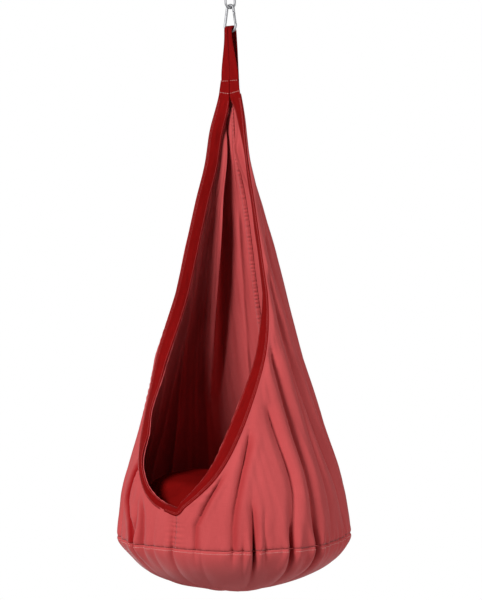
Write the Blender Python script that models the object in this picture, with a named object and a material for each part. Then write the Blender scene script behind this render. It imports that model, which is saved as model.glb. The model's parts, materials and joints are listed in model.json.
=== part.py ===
"""Cocoon hammock: a hanging cloth pod with a webbing-bound opening, hung from a swivel and a carabiner.

Units are metres and +Z is up. The origin is where the ceiling hook bears on the top of the swivel's bow.
The opening faces -Y.
"""

import math

import bmesh
import bpy
from mathutils import Matrix, Vector

# General fits
FIT = 0.0003                    # gap between pieces that touch
RUN = 0.0003                    # radial clearance of a turning pin in its hole
SIDES = 16                      # sides of a turned piece
DOME_STEPS = 4                  # lengths in the profile of a domed end

# Swivel: a bow that hangs on the ceiling hook and an eye that spins in its boss
BOW_ROD = 0.007
BOW_HALF_WIDTH = 0.0135         # to the rod's centre
BOW_INSIDE_HEIGHT = 0.031       # hook bearing to the boss
BOSS_RADIUS = 0.0085
BOSS_HEIGHT = 0.010
SHANK_RADIUS = 0.0032
WASHER_RADIUS = 0.0065
WASHER_HEIGHT = 0.0015
NUT_RADIUS = 0.0062             # across the corners
NUT_HEIGHT = 0.005
EYE_ROD = 0.006
EYE_HALF_WIDTH = 0.014          # to the rod's centre
EYE_STRAIGHT = 0.006            # straight run of the eye's sides
FLANGE_RADIUS = 0.006
FLANGE_HEIGHT = 0.006
EYE_TURN = math.radians(60)     # the eye's plane, turned from the carabiner's
HANG_GAP = 0.0007               # between the eye and the carabiner, so that it can swing

# Carabiner: pear-shaped, narrow end up, gate on the +X side
CARABINER_ROD = 0.007
CARABINER_LENGTH = 0.068        # between the rod's centres
NARROW_RADIUS = 0.0090          # to the rod's centre
WIDE_RADIUS = 0.0155
GATE_ROD = 0.0064
GATE_LENGTH = 0.0270            # pivot to nose
PIVOT_DROP = 0.0135             # narrow end's leg to the pivot, along the leg
PIVOT_ROUND = 0.0036            # radius of the gate's domed end about the pivot
TONGUE_THICKNESS = 0.0028       # of the body's end, inside the gate's fork
TONGUE_ROUND = 0.0030           # radius of that end about the pivot
RIVET_RADIUS = 0.0012
RIVET_HEAD_RADIUS = 0.0019
RIVET_HEAD_HEIGHT = 0.0005
SPRING_BORE_RADIUS = 0.0017
SPRING_RADIUS = 0.0011          # to the wire's centre
SPRING_WIRE = 0.00045
SPRING_TURNS = 6
SPRING_LENGTH = 0.0080
PLUNGER_RADIUS = 0.0013
PLUNGER_LENGTH = 0.0040
PLUNGER_SHOWS = 0.0012          # above the bottom of the fork's slot

# Webbing: the loop's two straps, and the bands that bind the opening
LOOP_WIDTH = 0.025
LOOP_THICKNESS = 0.002
LOOP_FOLDED_WIDTH = 0.0105      # folded double where it passes through the carabiner
LOOP_FOLDED_THICKNESS = 0.0048
LOOP_DROP = 0.1243              # carabiner's bow to the top of the sewn laps
LAP_LENGTH = 0.0373             # sewn lap of loop and band
BACK_LAP_LENGTH = 0.045         # sewn lap of loop and back panels
BAND_WIDTH = 0.034
BAND_THICKNESS = 0.0025

# Pod
CLOTH_THICKNESS = 0.0025
SEAM_GAP = 0.0008               # between two cloth edges that are sewn together
POD_HEIGHT = 1.127              # laps to the base seam
TOP_RADIUS = 0.020
SEAM_RADIUS = 0.298
BASE_DEPTH = 0.141              # base seam to the lowest point
BASE_TUCK = 1.20                # 1 is an ellipse, and more tucks the base in below the seam
# Outline: share of the pod's height, and share of the growth from the top radius to the seam's
OUTLINE = ((0.0, 0.0), (0.06, 0.03), (0.15, 0.083), (0.24, 0.194), (0.47, 0.435), (0.74, 0.745),
           (0.88, 0.928), (1.0, 1.0))
# How far the taut bands stand off that outline, at shares of the pod's height
EDGE_FLARE = ((0.0, 0.012), (0.10, 0.025), (0.24, 0.018), (0.42, 0.0115), (0.60, 0.007), (0.92, 0.0))
FLARE_REACH = math.radians(40)  # how far round from the opening the cloth follows them

# Opening: how far it reaches round each side, measured from the front
OPENING_ANGLE = math.radians(66)
LAP_ANGLE = math.radians(12)    # more than that at the laps
LAP_ANGLE_END = 0.10            # shares of the pod's height
OPENING_BEND = 0.45             # where the opening begins to close
OPENING_BOTTOM = 0.93           # the foot of the opening
# How far round to the left the opening hangs, and how far its left edge stands out more than its right one
OPENING_SKEW = ((0.45, 0.0), (0.56, math.radians(3.5)), (0.66, math.radians(6)), (0.74, math.radians(5)),
                (0.80, math.radians(1.8)), (0.86, 0.0))
LEFT_FLARE = ((0.45, 0.0), (0.58, 0.010), (0.70, 0.003), (0.80, 0.0))
LIP_AT_LAP = math.radians(78)   # turn of the band out of the cloth's surface
LIP_AT_TOP = math.radians(100)
LIP_AT_FOOT = math.radians(12)

# Folds of the hanging cloth, for the right panel (1) and the left one (-1), from the front to the back. Each
# has places down it as (share of the pod's height, degrees from the front), how far it draws the cloth in, or
# out if less than 0, and half of its width.
FOLDS = {
    1: (
        (((0.68, 50), (0.86, 60), (1.0, 56)), 0.008, 0.012),
        (((0.56, 60), (0.80, 70), (1.0, 72)), 0.009, 0.012),
        (((0.39, 71), (0.66, 85), (0.97, 100)), 0.007, 0.014),
        (((0.30, 82), (0.62, 98), (0.92, 116)), 0.006, 0.015),
        (((0.08, 128), (0.75, 133), (1.0, 130)), 0.009, 0.015),
        (((0.08, 152), (0.80, 153), (1.0, 157)), 0.007, 0.014),
    ),
    -1: (
        (((0.56, 60), (0.82, 52), (0.98, 45)), 0.008, 0.012),
        (((0.42, 72), (0.72, 84), (1.0, 88)), 0.008, 0.014),
        (((0.30, 82), (0.66, 104), (0.96, 116)), 0.006, 0.015),
        (((0.07, 124), (0.45, 128), (1.0, 138)), 0.011, 0.014),
        (((0.07, 150), (0.35, 151), (0.80, 148)), -0.018, 0.012),
        (((0.25, 166), (0.70, 165), (1.0, 163)), 0.006, 0.012),
    ),
}
FOLD_RISE = 0.12                # share of the height in which a fold deepens
FOLD_FADE = 0.80                # share of the height where folds begin to die out towards the base seam
FOLD_CALM = math.radians(12)    # smooth strip beside the opening
SEAM_FLAT = math.radians(5)     # flat strip beside a seam
SEAM_CALM = math.radians(18)    # strip next to the back seam's in which folds die out
FOLD_COLUMNS = (-3.0, -1.2, 0.0, 1.2, 3.0)      # columns of the panels' mesh along a fold, in half widths
COLUMN_REACH = math.radians(3)  # most that a half width may take up of those columns
COLUMN_STEP = math.radians(1.5)
PANEL_COLUMNS = len(FOLDS[1]) * len(FOLD_COLUMNS) + 3
EDGE_ROWS = 15                  # rows of the panels' mesh that start on the opening's edge
SEAM_ROWS = 2                   # and on the front seam
BEND_WEIGHT = 0.20              # metres of edge that a bend of one radian counts for in spacing the rows
BASE_SEGMENTS = 52
BASE_RINGS = 7

# Base pocket and seat cushion
FLOOR_THICKNESS = 0.002
CUSHION_EASE = 0.022            # between the wall and the cushion's seam
CUSHION_CROWN = 0.085           # seam to the crown
CUSHION_FOOT = 0.066            # seam to the flat underside
CUSHION_FULLNESS = 2.5
CUSHION_FLAT_SHARE = 0.72       # of the radius that rests on the floor
COVER_THICKNESS = 0.002
CUSHION_SEGMENTS = 40
CUSHION_RINGS = 6

# Levels that follow from the sizes above
BOSS_TOP = -BOW_INSIDE_HEIGHT
BOSS_BOTTOM = BOSS_TOP - BOSS_HEIGHT
FLANGE_BOTTOM = BOSS_BOTTOM - FIT - FLANGE_HEIGHT
EYE_TOP = FLANGE_BOTTOM + EYE_ROD * 0.1
EYE_BOTTOM = EYE_TOP - 2 * EYE_HALF_WIDTH - EYE_STRAIGHT
CARABINER_TOP = EYE_BOTTOM + (EYE_ROD + CARABINER_ROD) / 2 + HANG_GAP
BOW_LEVEL = CARABINER_TOP - CARABINER_LENGTH
LAP_TOP = BOW_LEVEL - LOOP_DROP
COLLAR = LAP_TOP - LAP_LENGTH
SEAM = COLLAR - POD_HEIGHT
FLOOR = SEAM + FLOOR_THICKNESS / 2
CUSHION_SEAM = FLOOR + FIT + CUSHION_FOOT


# Scene and mesh helpers

def clear_scene():
    for thing in list(bpy.data.objects):
        bpy.data.objects.remove(thing)


def material(name, colour, roughness, metallic=0.0):
    made = bpy.data.materials.new(name)
    made.use_nodes = True
    shader = made.node_tree.nodes["Principled BSDF"]
    shader.inputs["Base Color"].default_value = (*colour, 1.0)
    shader.inputs["Roughness"].default_value = roughness
    shader.inputs["Metallic"].default_value = metallic
    return made


def add_object(name, data, finish):
    made = bpy.data.objects.new(name, data)
    bpy.context.scene.collection.objects.link(made)
    if finish is not None:
        data.materials.append(finish)
    return made


def mesh_of(name, points, faces):
    mesh = bpy.data.meshes.new(name)
    mesh.from_pydata(points, [], faces)
    shape = bmesh.new()
    shape.from_mesh(mesh)
    bmesh.ops.recalc_face_normals(shape, faces=shape.faces)
    shape.to_mesh(mesh)
    shape.free()
    mesh.shade_smooth()
    return mesh


def grid_mesh(name, rows):
    """An open sheet through rows of points."""
    columns = len(rows[0])
    points = [point for row in rows for point in row]
    faces = []
    for i in range(len(rows) - 1):
        for j in range(columns - 1):
            a = i * columns + j
            faces.append((a, a + 1, a + columns + 1, a + columns))
    return mesh_of(name, points, faces)


def ring_mesh(name, rings):
    """A closed solid through rings of points. A ring of one point is a pole. Larger end rings are capped."""
    points, starts = [], []
    for ring in rings:
        starts.append(len(points))
        points.extend(ring)
    faces = []
    for i in range(len(rings) - 1):
        here, there = len(rings[i]), len(rings[i + 1])
        count = max(here, there)
        for j in range(count):
            k = (j + 1) % count
            if here == 1:
                faces.append((starts[i], starts[i + 1] + j, starts[i + 1] + k))
            elif there == 1:
                faces.append((starts[i] + j, starts[i] + k, starts[i + 1]))
            else:
                faces.append((starts[i] + j, starts[i] + k, starts[i + 1] + k, starts[i + 1] + j))
    for i in (0, len(rings) - 1):
        if len(rings[i]) > 1:
            faces.append(tuple(range(starts[i], starts[i] + len(rings[i]))))
    return mesh_of(name, points, faces)


def turned_mesh(name, profile, segments):
    """A solid turned about Z from (radius, height) points. A radius of 0 makes a pole."""
    rings = []
    for radius, height in profile:
        if radius == 0:
            rings.append([(0.0, 0.0, height)])
            continue
        turns = [2 * math.pi * k / segments for k in range(segments)]
        rings.append([(radius * math.cos(a), radius * math.sin(a), height) for a in turns])
    return ring_mesh(name, rings)


def cylinder_mesh(name, radius, low, high, sides=SIDES):
    return turned_mesh(name, [(radius, high), (radius, low)], sides)


def rod_mesh(name, points, diameter, closed, resolution=3):
    """A round rod along points, as a mesh."""
    curve = bpy.data.curves.new(name + "_line", "CURVE")
    curve.dimensions = "3D"
    curve.bevel_depth = diameter / 2
    curve.bevel_resolution = resolution
    curve.use_fill_caps = True
    line = curve.splines.new("POLY")
    line.points.add(len(points) - 1)
    for place, point in zip(line.points, points):
        place.co = (*point, 1.0)
    line.use_cyclic_u = closed
    guide = bpy.data.objects.new(name + "_line", curve)
    bpy.context.scene.collection.objects.link(guide)
    graph = bpy.context.evaluated_depsgraph_get()
    mesh = bpy.data.meshes.new_from_object(guide.evaluated_get(graph))
    bpy.data.objects.remove(guide)
    shape = bmesh.new()
    shape.from_mesh(mesh)
    bmesh.ops.remove_doubles(shape, verts=shape.verts, dist=1e-6)
    bmesh.ops.recalc_face_normals(shape, faces=shape.faces)
    shape.to_mesh(mesh)
    shape.free()
    mesh.name = name
    mesh.shade_smooth()
    return mesh


def joint_axis(name, height, pieces):
    """An empty on a joint's axis, which carries the pieces that move about it."""
    axis = bpy.data.objects.new(name, None)
    axis.location = (0.0, 0.0, height)
    bpy.context.scene.collection.objects.link(axis)
    for piece in pieces:
        piece.parent = axis
        piece.matrix_parent_inverse = Matrix.Translation(axis.location).inverted()


def boolean(target, mesh, operation, matrix=None):
    """Cuts or joins a helper mesh, which stays with its piece as a hidden wire."""
    helper = add_object(f"{target.name}_{operation.lower()}_{len(target.modifiers)}", mesh, None)
    helper.hide_render = True
    helper.display_type = "WIRE"
    helper.parent = target
    if matrix is not None:
        helper.matrix_basis = matrix
    step = target.modifiers.new(operation.title(), "BOOLEAN")
    step.operation = operation
    step.object = helper


def thicken(target, thickness):
    step = target.modifiers.new("Cloth", "SOLIDIFY")
    step.thickness = thickness
    step.offset = 0.0


def smooth(share):
    share = min(max(share, 0.0), 1.0)
    return share * share * (3 - 2 * share)


def mix(low, high, share):
    return low + (high - low) * share


def arc(centre_x, centre_z, radius, start, end, steps):
    """Points of an arc in the XZ plane, with angles from +X towards +Z."""
    turns = [mix(start, end, k / steps) for k in range(steps + 1)]
    return [(centre_x + radius * math.cos(a), 0.0, centre_z + radius * math.sin(a)) for a in turns]


# Swivel

def loop_points(half_width, top, bottom, steps=10):
    """A stadium-shaped loop in the XZ plane."""
    upper = arc(0.0, top - half_width, half_width, 0.0, math.pi, steps)
    lower = arc(0.0, bottom + half_width, half_width, math.pi, 2 * math.pi, steps)
    return upper + lower


def swivel_bow(steel):
    top = BOW_ROD / 2
    bottom = BOSS_BOTTOM + BOW_ROD / 2
    ring = rod_mesh("swivel_bow", loop_points(BOW_HALF_WIDTH, top, bottom), BOW_ROD, True)
    bow = add_object("swivel_bow", ring, steel)
    boolean(bow, cylinder_mesh("boss", BOSS_RADIUS, BOSS_BOTTOM, BOSS_TOP, 24), "UNION")
    hole = cylinder_mesh("boss_hole", SHANK_RADIUS + RUN, BOSS_BOTTOM - BOSS_HEIGHT, BOSS_TOP + BOSS_HEIGHT)
    boolean(bow, hole, "DIFFERENCE")


def swivel_washer_and_nut(steel):
    washer_low = BOSS_TOP + FIT
    washer_high = washer_low + WASHER_HEIGHT
    disc = cylinder_mesh("swivel_washer", WASHER_RADIUS, washer_low, washer_high)
    washer = add_object("swivel_washer", disc, steel)
    bore = SHANK_RADIUS + RUN
    hole = cylinder_mesh("washer_hole", bore, washer_low - WASHER_HEIGHT, washer_high + WASHER_HEIGHT)
    boolean(washer, hole, "DIFFERENCE")
    nut_low = washer_high + FIT
    nut_high = nut_low + NUT_HEIGHT
    nut = add_object("swivel_nut", cylinder_mesh("swivel_nut", NUT_RADIUS, nut_low, nut_high, 6), steel)
    thread = cylinder_mesh("nut_thread", bore, nut_low - NUT_HEIGHT, nut_high + NUT_HEIGHT)
    boolean(nut, thread, "DIFFERENCE")


def swivel_eye(steel):
    mesh = rod_mesh("swivel_eye", loop_points(EYE_HALF_WIDTH, EYE_TOP, EYE_BOTTOM), EYE_ROD, True)
    mesh.transform(Matrix.Rotation(EYE_TURN, 4, "Z"))
    eye = add_object("swivel_eye", mesh, steel)
    flange = cylinder_mesh("flange", FLANGE_RADIUS, FLANGE_BOTTOM, FLANGE_BOTTOM + FLANGE_HEIGHT)
    boolean(eye, flange, "UNION")
    shank_top = BOSS_TOP + FIT + WASHER_HEIGHT + FIT + NUT_HEIGHT + RUN
    shank = cylinder_mesh("shank", SHANK_RADIUS, FLANGE_BOTTOM + FLANGE_HEIGHT / 2, shank_top)
    boolean(eye, shank, "UNION")


# Carabiner

NARROW_CENTRE = CARABINER_TOP - NARROW_RADIUS
WIDE_CENTRE = BOW_LEVEL + WIDE_RADIUS
LEG_LEAN = math.asin((WIDE_RADIUS - NARROW_RADIUS) / (NARROW_CENTRE - WIDE_CENTRE))
LEG_OUT = Vector((math.cos(LEG_LEAN), 0.0, math.sin(LEG_LEAN)))
LEG_DOWN = Vector((math.sin(LEG_LEAN), 0.0, -math.cos(LEG_LEAN)))
LEG_TOP = Vector((0.0, 0.0, NARROW_CENTRE)) + LEG_OUT * NARROW_RADIUS
PIVOT = LEG_TOP + LEG_DOWN * PIVOT_DROP
NOSE = PIVOT + LEG_DOWN * GATE_LENGTH


def leg_frame(place):
    """A frame at a point of the gate's leg: local Z runs up the leg and local Y is the rivet's axis."""
    return Matrix.Translation(place) @ Matrix.Rotation(-LEG_LEAN, 4, "Y")


def block_mesh(name, low, high):
    corners = [(x, y, z) for x in (low[0], high[0]) for y in (low[1], high[1]) for z in (low[2], high[2])]
    faces = [(0, 1, 3, 2), (4, 6, 7, 5), (0, 4, 5, 1), (2, 3, 7, 6), (0, 2, 6, 4), (1, 5, 7, 3)]
    return mesh_of(name, corners, faces)


def rivet_bore(name):
    mesh = cylinder_mesh(name, RIVET_RADIUS + RUN, -CARABINER_ROD, CARABINER_ROD, 12)
    mesh.transform(Matrix.Rotation(math.radians(90), 4, "X"))
    return mesh


def carabiner_body(steel):
    over = arc(0.0, NARROW_CENTRE, NARROW_RADIUS, LEG_LEAN, math.pi - LEG_LEAN, 12)
    under = arc(0.0, WIDE_CENTRE, WIDE_RADIUS, math.pi - LEG_LEAN, 2 * math.pi + LEG_LEAN, 20)
    rod_end = PIVOT + LEG_DOWN * (RIVET_RADIUS * 0.7)
    points = [tuple(rod_end), *over, *under, tuple(NOSE + LEG_DOWN * FIT)]
    body = add_object("carabiner_body", rod_mesh("carabiner_body", points, CARABINER_ROD, False), steel)
    tip = cylinder_mesh("tongue_tip", TONGUE_ROUND, -TONGUE_THICKNESS, TONGUE_THICKNESS, 24)
    tip.transform(Matrix.Rotation(math.radians(90), 4, "X"))
    boolean(body, tip, "UNION", leg_frame(PIVOT))
    slab_top = PIVOT_ROUND + FIT
    for side in (-1, 1):
        near, far = side * TONGUE_THICKNESS / 2, side * CARABINER_ROD
        low = (-CARABINER_ROD, min(near, far), -CARABINER_ROD)
        high = (CARABINER_ROD, max(near, far), slab_top)
        boolean(body, block_mesh("tongue_side", low, high), "DIFFERENCE", leg_frame(PIVOT))
    boolean(body, rivet_bore("tongue_bore"), "DIFFERENCE", leg_frame(PIVOT))
    return body


def carabiner_gate(steel):
    gate_low = FIT - GATE_LENGTH
    profile = [(0, gate_low), (GATE_ROD / 2, gate_low)]
    shoulder = math.acos(GATE_ROD / 2 / PIVOT_ROUND)
    for k in range(DOME_STEPS):
        rise = mix(shoulder, math.pi / 2, k / DOME_STEPS)
        profile.append((PIVOT_ROUND * math.cos(rise), PIVOT_ROUND * math.sin(rise)))
    profile.append((0, PIVOT_ROUND))
    gate = add_object("carabiner_gate", turned_mesh("carabiner_gate", profile[::-1], SIDES), steel)
    gate.matrix_basis = leg_frame(PIVOT)
    half_slot = TONGUE_THICKNESS / 2 + FIT
    plunger_high = -TONGUE_ROUND - RUN
    slot_low = plunger_high - PLUNGER_SHOWS
    slot_high = 2 * PIVOT_ROUND
    slot = block_mesh("fork_slot", (-GATE_ROD, -half_slot, slot_low), (GATE_ROD, half_slot, slot_high))
    boolean(gate, slot, "DIFFERENCE")
    boolean(gate, rivet_bore("fork_bore"), "DIFFERENCE")
    plunger_low = plunger_high - PLUNGER_LENGTH
    bore_low = plunger_low - SPRING_LENGTH - 2 * FIT
    bore = cylinder_mesh("spring_bore", SPRING_BORE_RADIUS, bore_low, slot_low + GATE_ROD * 0.1, 12)
    boolean(gate, bore, "DIFFERENCE")
    shoulder = plunger_high - half_slot * 0.3
    profile = [(0, plunger_high), (half_slot * 0.7, plunger_high), (PLUNGER_RADIUS, shoulder)]
    profile += [(PLUNGER_RADIUS, plunger_low), (0, plunger_low)]
    plunger = add_object("gate_plunger", turned_mesh("gate_plunger", profile, 12), steel)
    plunger.matrix_basis = leg_frame(PIVOT)
    return gate, plunger, gate_spring(steel, bore_low + FIT + SPRING_WIRE / 2)


def gate_spring(steel, low):
    points_per_turn = 8
    count = SPRING_TURNS * points_per_turn
    height = SPRING_LENGTH - SPRING_WIRE
    points = []
    for k in range(count + 1):
        turn = 2 * math.pi * k / points_per_turn
        x, y = SPRING_RADIUS * math.cos(turn), SPRING_RADIUS * math.sin(turn)
        points.append((x, y, low + height * k / count))
    gap = height / SPRING_TURNS - SPRING_WIRE
    print(f"gate_spring: least gap between turns {gap * 1000:.2f} mm")
    spring = add_object("gate_spring", rod_mesh("gate_spring", points, SPRING_WIRE, False, 0), steel)
    spring.matrix_basis = leg_frame(PIVOT)
    return spring


def gate_rivet(steel):
    half = GATE_ROD / 2
    head = half + RIVET_HEAD_HEIGHT
    profile = [(RIVET_HEAD_RADIUS, head), (RIVET_HEAD_RADIUS, half + FIT), (RIVET_RADIUS, half + FIT)]
    profile += [(RIVET_RADIUS, -half - FIT), (RIVET_HEAD_RADIUS, -half - FIT), (RIVET_HEAD_RADIUS, -head)]
    mesh = turned_mesh("gate_rivet", profile, 12)
    mesh.transform(Matrix.Rotation(math.radians(90), 4, "X"))
    rivet = add_object("gate_rivet", mesh, steel)
    rivet.matrix_basis = leg_frame(PIVOT)
    return rivet


# Pod surface. A place on it is an angle from the front and a share of the height, from the laps to the seam.

def along(stations, place):
    """A smooth curve through (place, value) stations."""
    k = 0
    while k < len(stations) - 2 and place > stations[k + 1][0]:
        k += 1
    (x0, y0), (x1, y1) = stations[k], stations[k + 1]

    def slope(i):
        before, after = stations[max(i - 1, 0)], stations[min(i + 1, len(stations) - 1)]
        return (after[1] - before[1]) / (after[0] - before[0])

    run = x1 - x0
    part = min(max((place - x0) / run, 0.0), 1.0)
    rest = 1 - part
    ends = y0 * rest * rest * (1 + 2 * part) + y1 * part * part * (3 - 2 * part)
    return ends + run * part * rest * (slope(k) * rest - slope(k + 1) * part)


def pod_radius(share):
    return mix(TOP_RADIUS, SEAM_RADIUS, along(OUTLINE, share))


def level(share):
    return COLLAR - POD_HEIGHT * share


def opening_angle(share, side):
    """The angle from the front to one edge of the opening at this height."""
    if share >= OPENING_BOTTOM:
        return 0.0
    bend = max(0.0, (share - OPENING_BEND) / (OPENING_BOTTOM - OPENING_BEND))
    at_lap = LAP_ANGLE * (1 - smooth(share / LAP_ANGLE_END))
    return at_lap + OPENING_ANGLE * (1 - bend ** 1.6) ** 0.7 - side * along(OPENING_SKEW, share)


def faded(share):
    """How far the folds have died out at this height."""
    return smooth((share - FOLD_FADE) / (1 - FOLD_FADE))


def fold(angle, share, side):
    """How far the folds draw the cloth in. They are calm beside the back seam and the opening."""
    depth_here = 0.0
    for line, depth, half_width in FOLDS[side]:
        off = (angle - math.radians(along(line, share))) * pod_radius(share)
        depth_here += depth * smooth((share - line[0][0]) / FOLD_RISE) * math.exp(-(off / half_width) ** 2)
    beside_opening = smooth((angle - opening_angle(share, side)) / FOLD_CALM)
    beside_seam = smooth((math.pi - SEAM_FLAT - angle) / SEAM_CALM)
    return depth_here * beside_opening * beside_seam * (1 - faded(share))


def smooth_radius(angle, share, side):
    """The wall's radius before it folds."""
    near_edge = 1 - smooth((angle - opening_angle(share, side)) / FLARE_REACH)
    flare = along(EDGE_FLARE, share)
    if side < 0:
        flare += along(LEFT_FLARE, share)
    return pod_radius(share) + flare * near_edge


def surface(angle, share, side):
    radius = smooth_radius(angle, share, side) - fold(angle, share, side)
    return Vector((side * radius * math.sin(angle), -radius * math.cos(angle), level(share)))


def edge_point(share, side):
    """A point of one edge of the opening, mirrored to the +X side."""
    point = surface(opening_angle(share, side), share, side)
    return Vector((side * point.x, point.y, point.z))


def edge_places(side, steps=400):
    """Places down one edge of the opening as (angle, share), closer together where it bends."""
    shares = [OPENING_BOTTOM * k / steps for k in range(steps + 1)]
    points = [edge_point(share, side) for share in shares]
    run = [0.0, (points[1] - points[0]).length]
    for a, b, c in zip(points, points[1:], points[2:]):
        run.append(run[-1] + (c - b).length + BEND_WEIGHT * (b - a).angle(c - b))
    found, k = [], 0
    for row in range(EDGE_ROWS + 1):
        want = run[-1] * row / EDGE_ROWS
        while k < steps - 1 and run[k + 1] < want:
            k += 1
        share = mix(shares[k], shares[k + 1], (want - run[k]) / (run[k + 1] - run[k]))
        found.append((opening_angle(share, side), share))
    return found


def edge_frame(share, side):
    """Point, tangent down the edge, outward normal and direction into the opening, all mirrored to +X."""
    step = 0.002
    low, high = max(0.0, share - step), min(OPENING_BOTTOM, share + step)
    point = edge_point(share, side)
    down = (edge_point(high, side) - edge_point(low, side)).normalized()
    angle = opening_angle(share, side)
    outward = Vector((math.sin(angle), -math.cos(angle), 0.0))
    outward = (outward - down * outward.dot(down)).normalized()
    inward = down.cross(outward).normalized()
    if share >= OPENING_BOTTOM - step:
        down, outward, inward = Vector((-1, 0, 0)), Vector((0, -1, 0)), Vector((0, 0, 1))
    return point, down, outward, inward


def panel_edge(place, side):
    """The cloth's edge, set back from the opening's edge by the band's thickness and the fit."""
    angle, share = place
    if share >= OPENING_BOTTOM:
        return SEAM_GAP / 2 / pod_radius(share), max(share, OPENING_BOTTOM + SETBACK / POD_HEIGHT)
    point, down, outward, inward = edge_frame(share, side)
    across = Vector((math.cos(angle), math.sin(angle), 0.0))
    moved_angle = angle - SETBACK * inward.dot(across) / math.hypot(point.x, point.y)
    moved_share = share + SETBACK * inward.z / POD_HEIGHT
    return max(moved_angle, SEAM_GAP / 2 / pod_radius(share)), max(moved_share, 0.0)


SETBACK = (BAND_THICKNESS / 2 + FIT + 0.2 * CLOTH_THICKNESS) / 0.98


def column_angles(front, back, shares, side):
    """Angles of the places across a row of a panel's mesh: at and beside its edges, and along each fold."""
    angles = [front, front + SEAM_FLAT]
    for line, depth, half_width in FOLDS[side]:
        for place in FOLD_COLUMNS:
            share = shares[len(angles)]
            reach = min(half_width / pod_radius(share), COLUMN_REACH)
            angles.append(max(math.radians(along(line, share)) + place * reach, angles[-1] + COLUMN_STEP))
    angles += [max(back - SEAM_FLAT, angles[-1] + COLUMN_STEP), back]
    for j in range(PANEL_COLUMNS - 1, 0, -1):
        angles[j] = min(angles[j], angles[j + 1] - COLUMN_STEP)
    even = [mix(front, back, j / PANEL_COLUMNS) for j in range(PANEL_COLUMNS + 1)]
    return [mix(a, b, faded(share)) for a, b, share in zip(angles, even, shares)]


def body_panel(name, side, cloth):
    """Half of the pod's wall: from the opening's edge and the front seam round to the back seam."""
    places = edge_places(side)
    places += [(0.0, mix(OPENING_BOTTOM, 1.0, k / SEAM_ROWS)) for k in range(1, SEAM_ROWS + 1)]
    rows = []
    for k, place in enumerate(places):
        front_angle, front_share = panel_edge(place, side)
        back_share = mix(BACK_LAP_LENGTH / POD_HEIGHT, 1.0, (k - 1) / (len(places) - 2)) if k else 0.0
        back_angle = math.pi - SEAM_GAP / 2 / pod_radius(back_share)
        shares = [mix(front_share, back_share, smooth(j / PANEL_COLUMNS)) for j in range(PANEL_COLUMNS + 1)]
        row = []
        for angle, share in zip(column_angles(front_angle, back_angle, shares, side), shares):
            point = surface(angle, share, side)
            point.z = max(point.z, SEAM + SEAM_GAP / 2)
            row.append(point)
        rows.append(row)
    panel = add_object(name, grid_mesh(name, rows), cloth)
    thicken(panel, CLOTH_THICKNESS)
    return panel


# Webbing

def lip_turn(share):
    top = mix(LIP_AT_LAP, LIP_AT_TOP, smooth(share / LAP_ANGLE_END))
    return mix(top, LIP_AT_FOOT, smooth((share - OPENING_BEND) / (OPENING_BOTTOM - OPENING_BEND - 0.05)))


def strip_ring(edge, across, width, normal, thickness):
    """The four corners of a flat strip's cross-section."""
    half = normal * (thickness / 2)
    far = edge + across * width
    return [edge + half, edge - half, far - half, far + half]


def edge_band(name, side, webbing):
    """Binds one side of the opening, from the sewn lap down to the foot of the opening."""
    lap_edge = Vector((LOOP_WIDTH + FIT, LAP_PLANE, LAP_TOP))
    rings = [strip_ring(lap_edge, Vector((-1, 0, 0)), LOOP_WIDTH, Vector((0, 1, 0)), BAND_THICKNESS)]
    for angle, share in edge_places(side):
        point, down, outward, inward = edge_frame(share, side)
        turn = lip_turn(share)
        across = inward * math.cos(turn) - outward * math.sin(turn)
        across = (across - down * across.dot(down)).normalized()
        width = min(BAND_WIDTH, mix(point.x - FIT, BAND_WIDTH, smooth(share / LAP_ANGLE_END)))
        if share >= OPENING_BEND:
            width = BAND_WIDTH
        rings.append(strip_ring(point, across, width, down.cross(across).normalized(), BAND_THICKNESS))
    for ring in rings:
        for corner in ring:
            corner.x = side * max(corner.x, FIT / 2)
    return add_object(name, ring_mesh(name, rings), webbing)


LAP_PLANE = edge_point(0.0, 1).y
STRAP_PLANE = LAP_PLANE + BAND_THICKNESS / 2 + FIT + LOOP_THICKNESS / 2
LOOP_REACH = LOOP_FOLDED_WIDTH + FIT
BOW_INSIDE = WIDE_RADIUS - CARABINER_ROD / 2
BOW_TOP = WIDE_RADIUS - math.sqrt(BOW_INSIDE ** 2 - LOOP_REACH ** 2)
LOOP_BENDS = 12                 # straight lengths in the strap's turn over the bow
LOOP_COLUMNS = 5
LOOP_RISE_ROWS = 6
LOOP_LAP_ROWS = 3
LOOP_RADIUS = (BOW_TOP + FIT) / math.cos(math.pi / 2 / LOOP_BENDS) + LOOP_FOLDED_THICKNESS / 2


def flat_section(y, z, width):
    """Points across a flat strap."""
    return [Vector((mix(FIT / 2, width, j / LOOP_COLUMNS), y, z)) for j in range(LOOP_COLUMNS + 1)]


def neck_section(part):
    """Points across a strap that hugs the gathered neck at the back, part of the way down its lap."""
    share = BACK_LAP_LENGTH / POD_HEIGHT
    stand_off = CLOTH_THICKNESS / 2 + FIT + LOOP_THICKNESS / 2
    radius = mix(pod_radius(0.0), pod_radius(share), part) + stand_off
    start = FIT / 2 / TOP_RADIUS
    angles = [math.pi - start - LOOP_WIDTH / radius * j / LOOP_COLUMNS for j in range(LOOP_COLUMNS + 1)]
    return [Vector((radius * math.sin(a), -radius * math.cos(a), level(share * part))) for a in angles]


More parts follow.
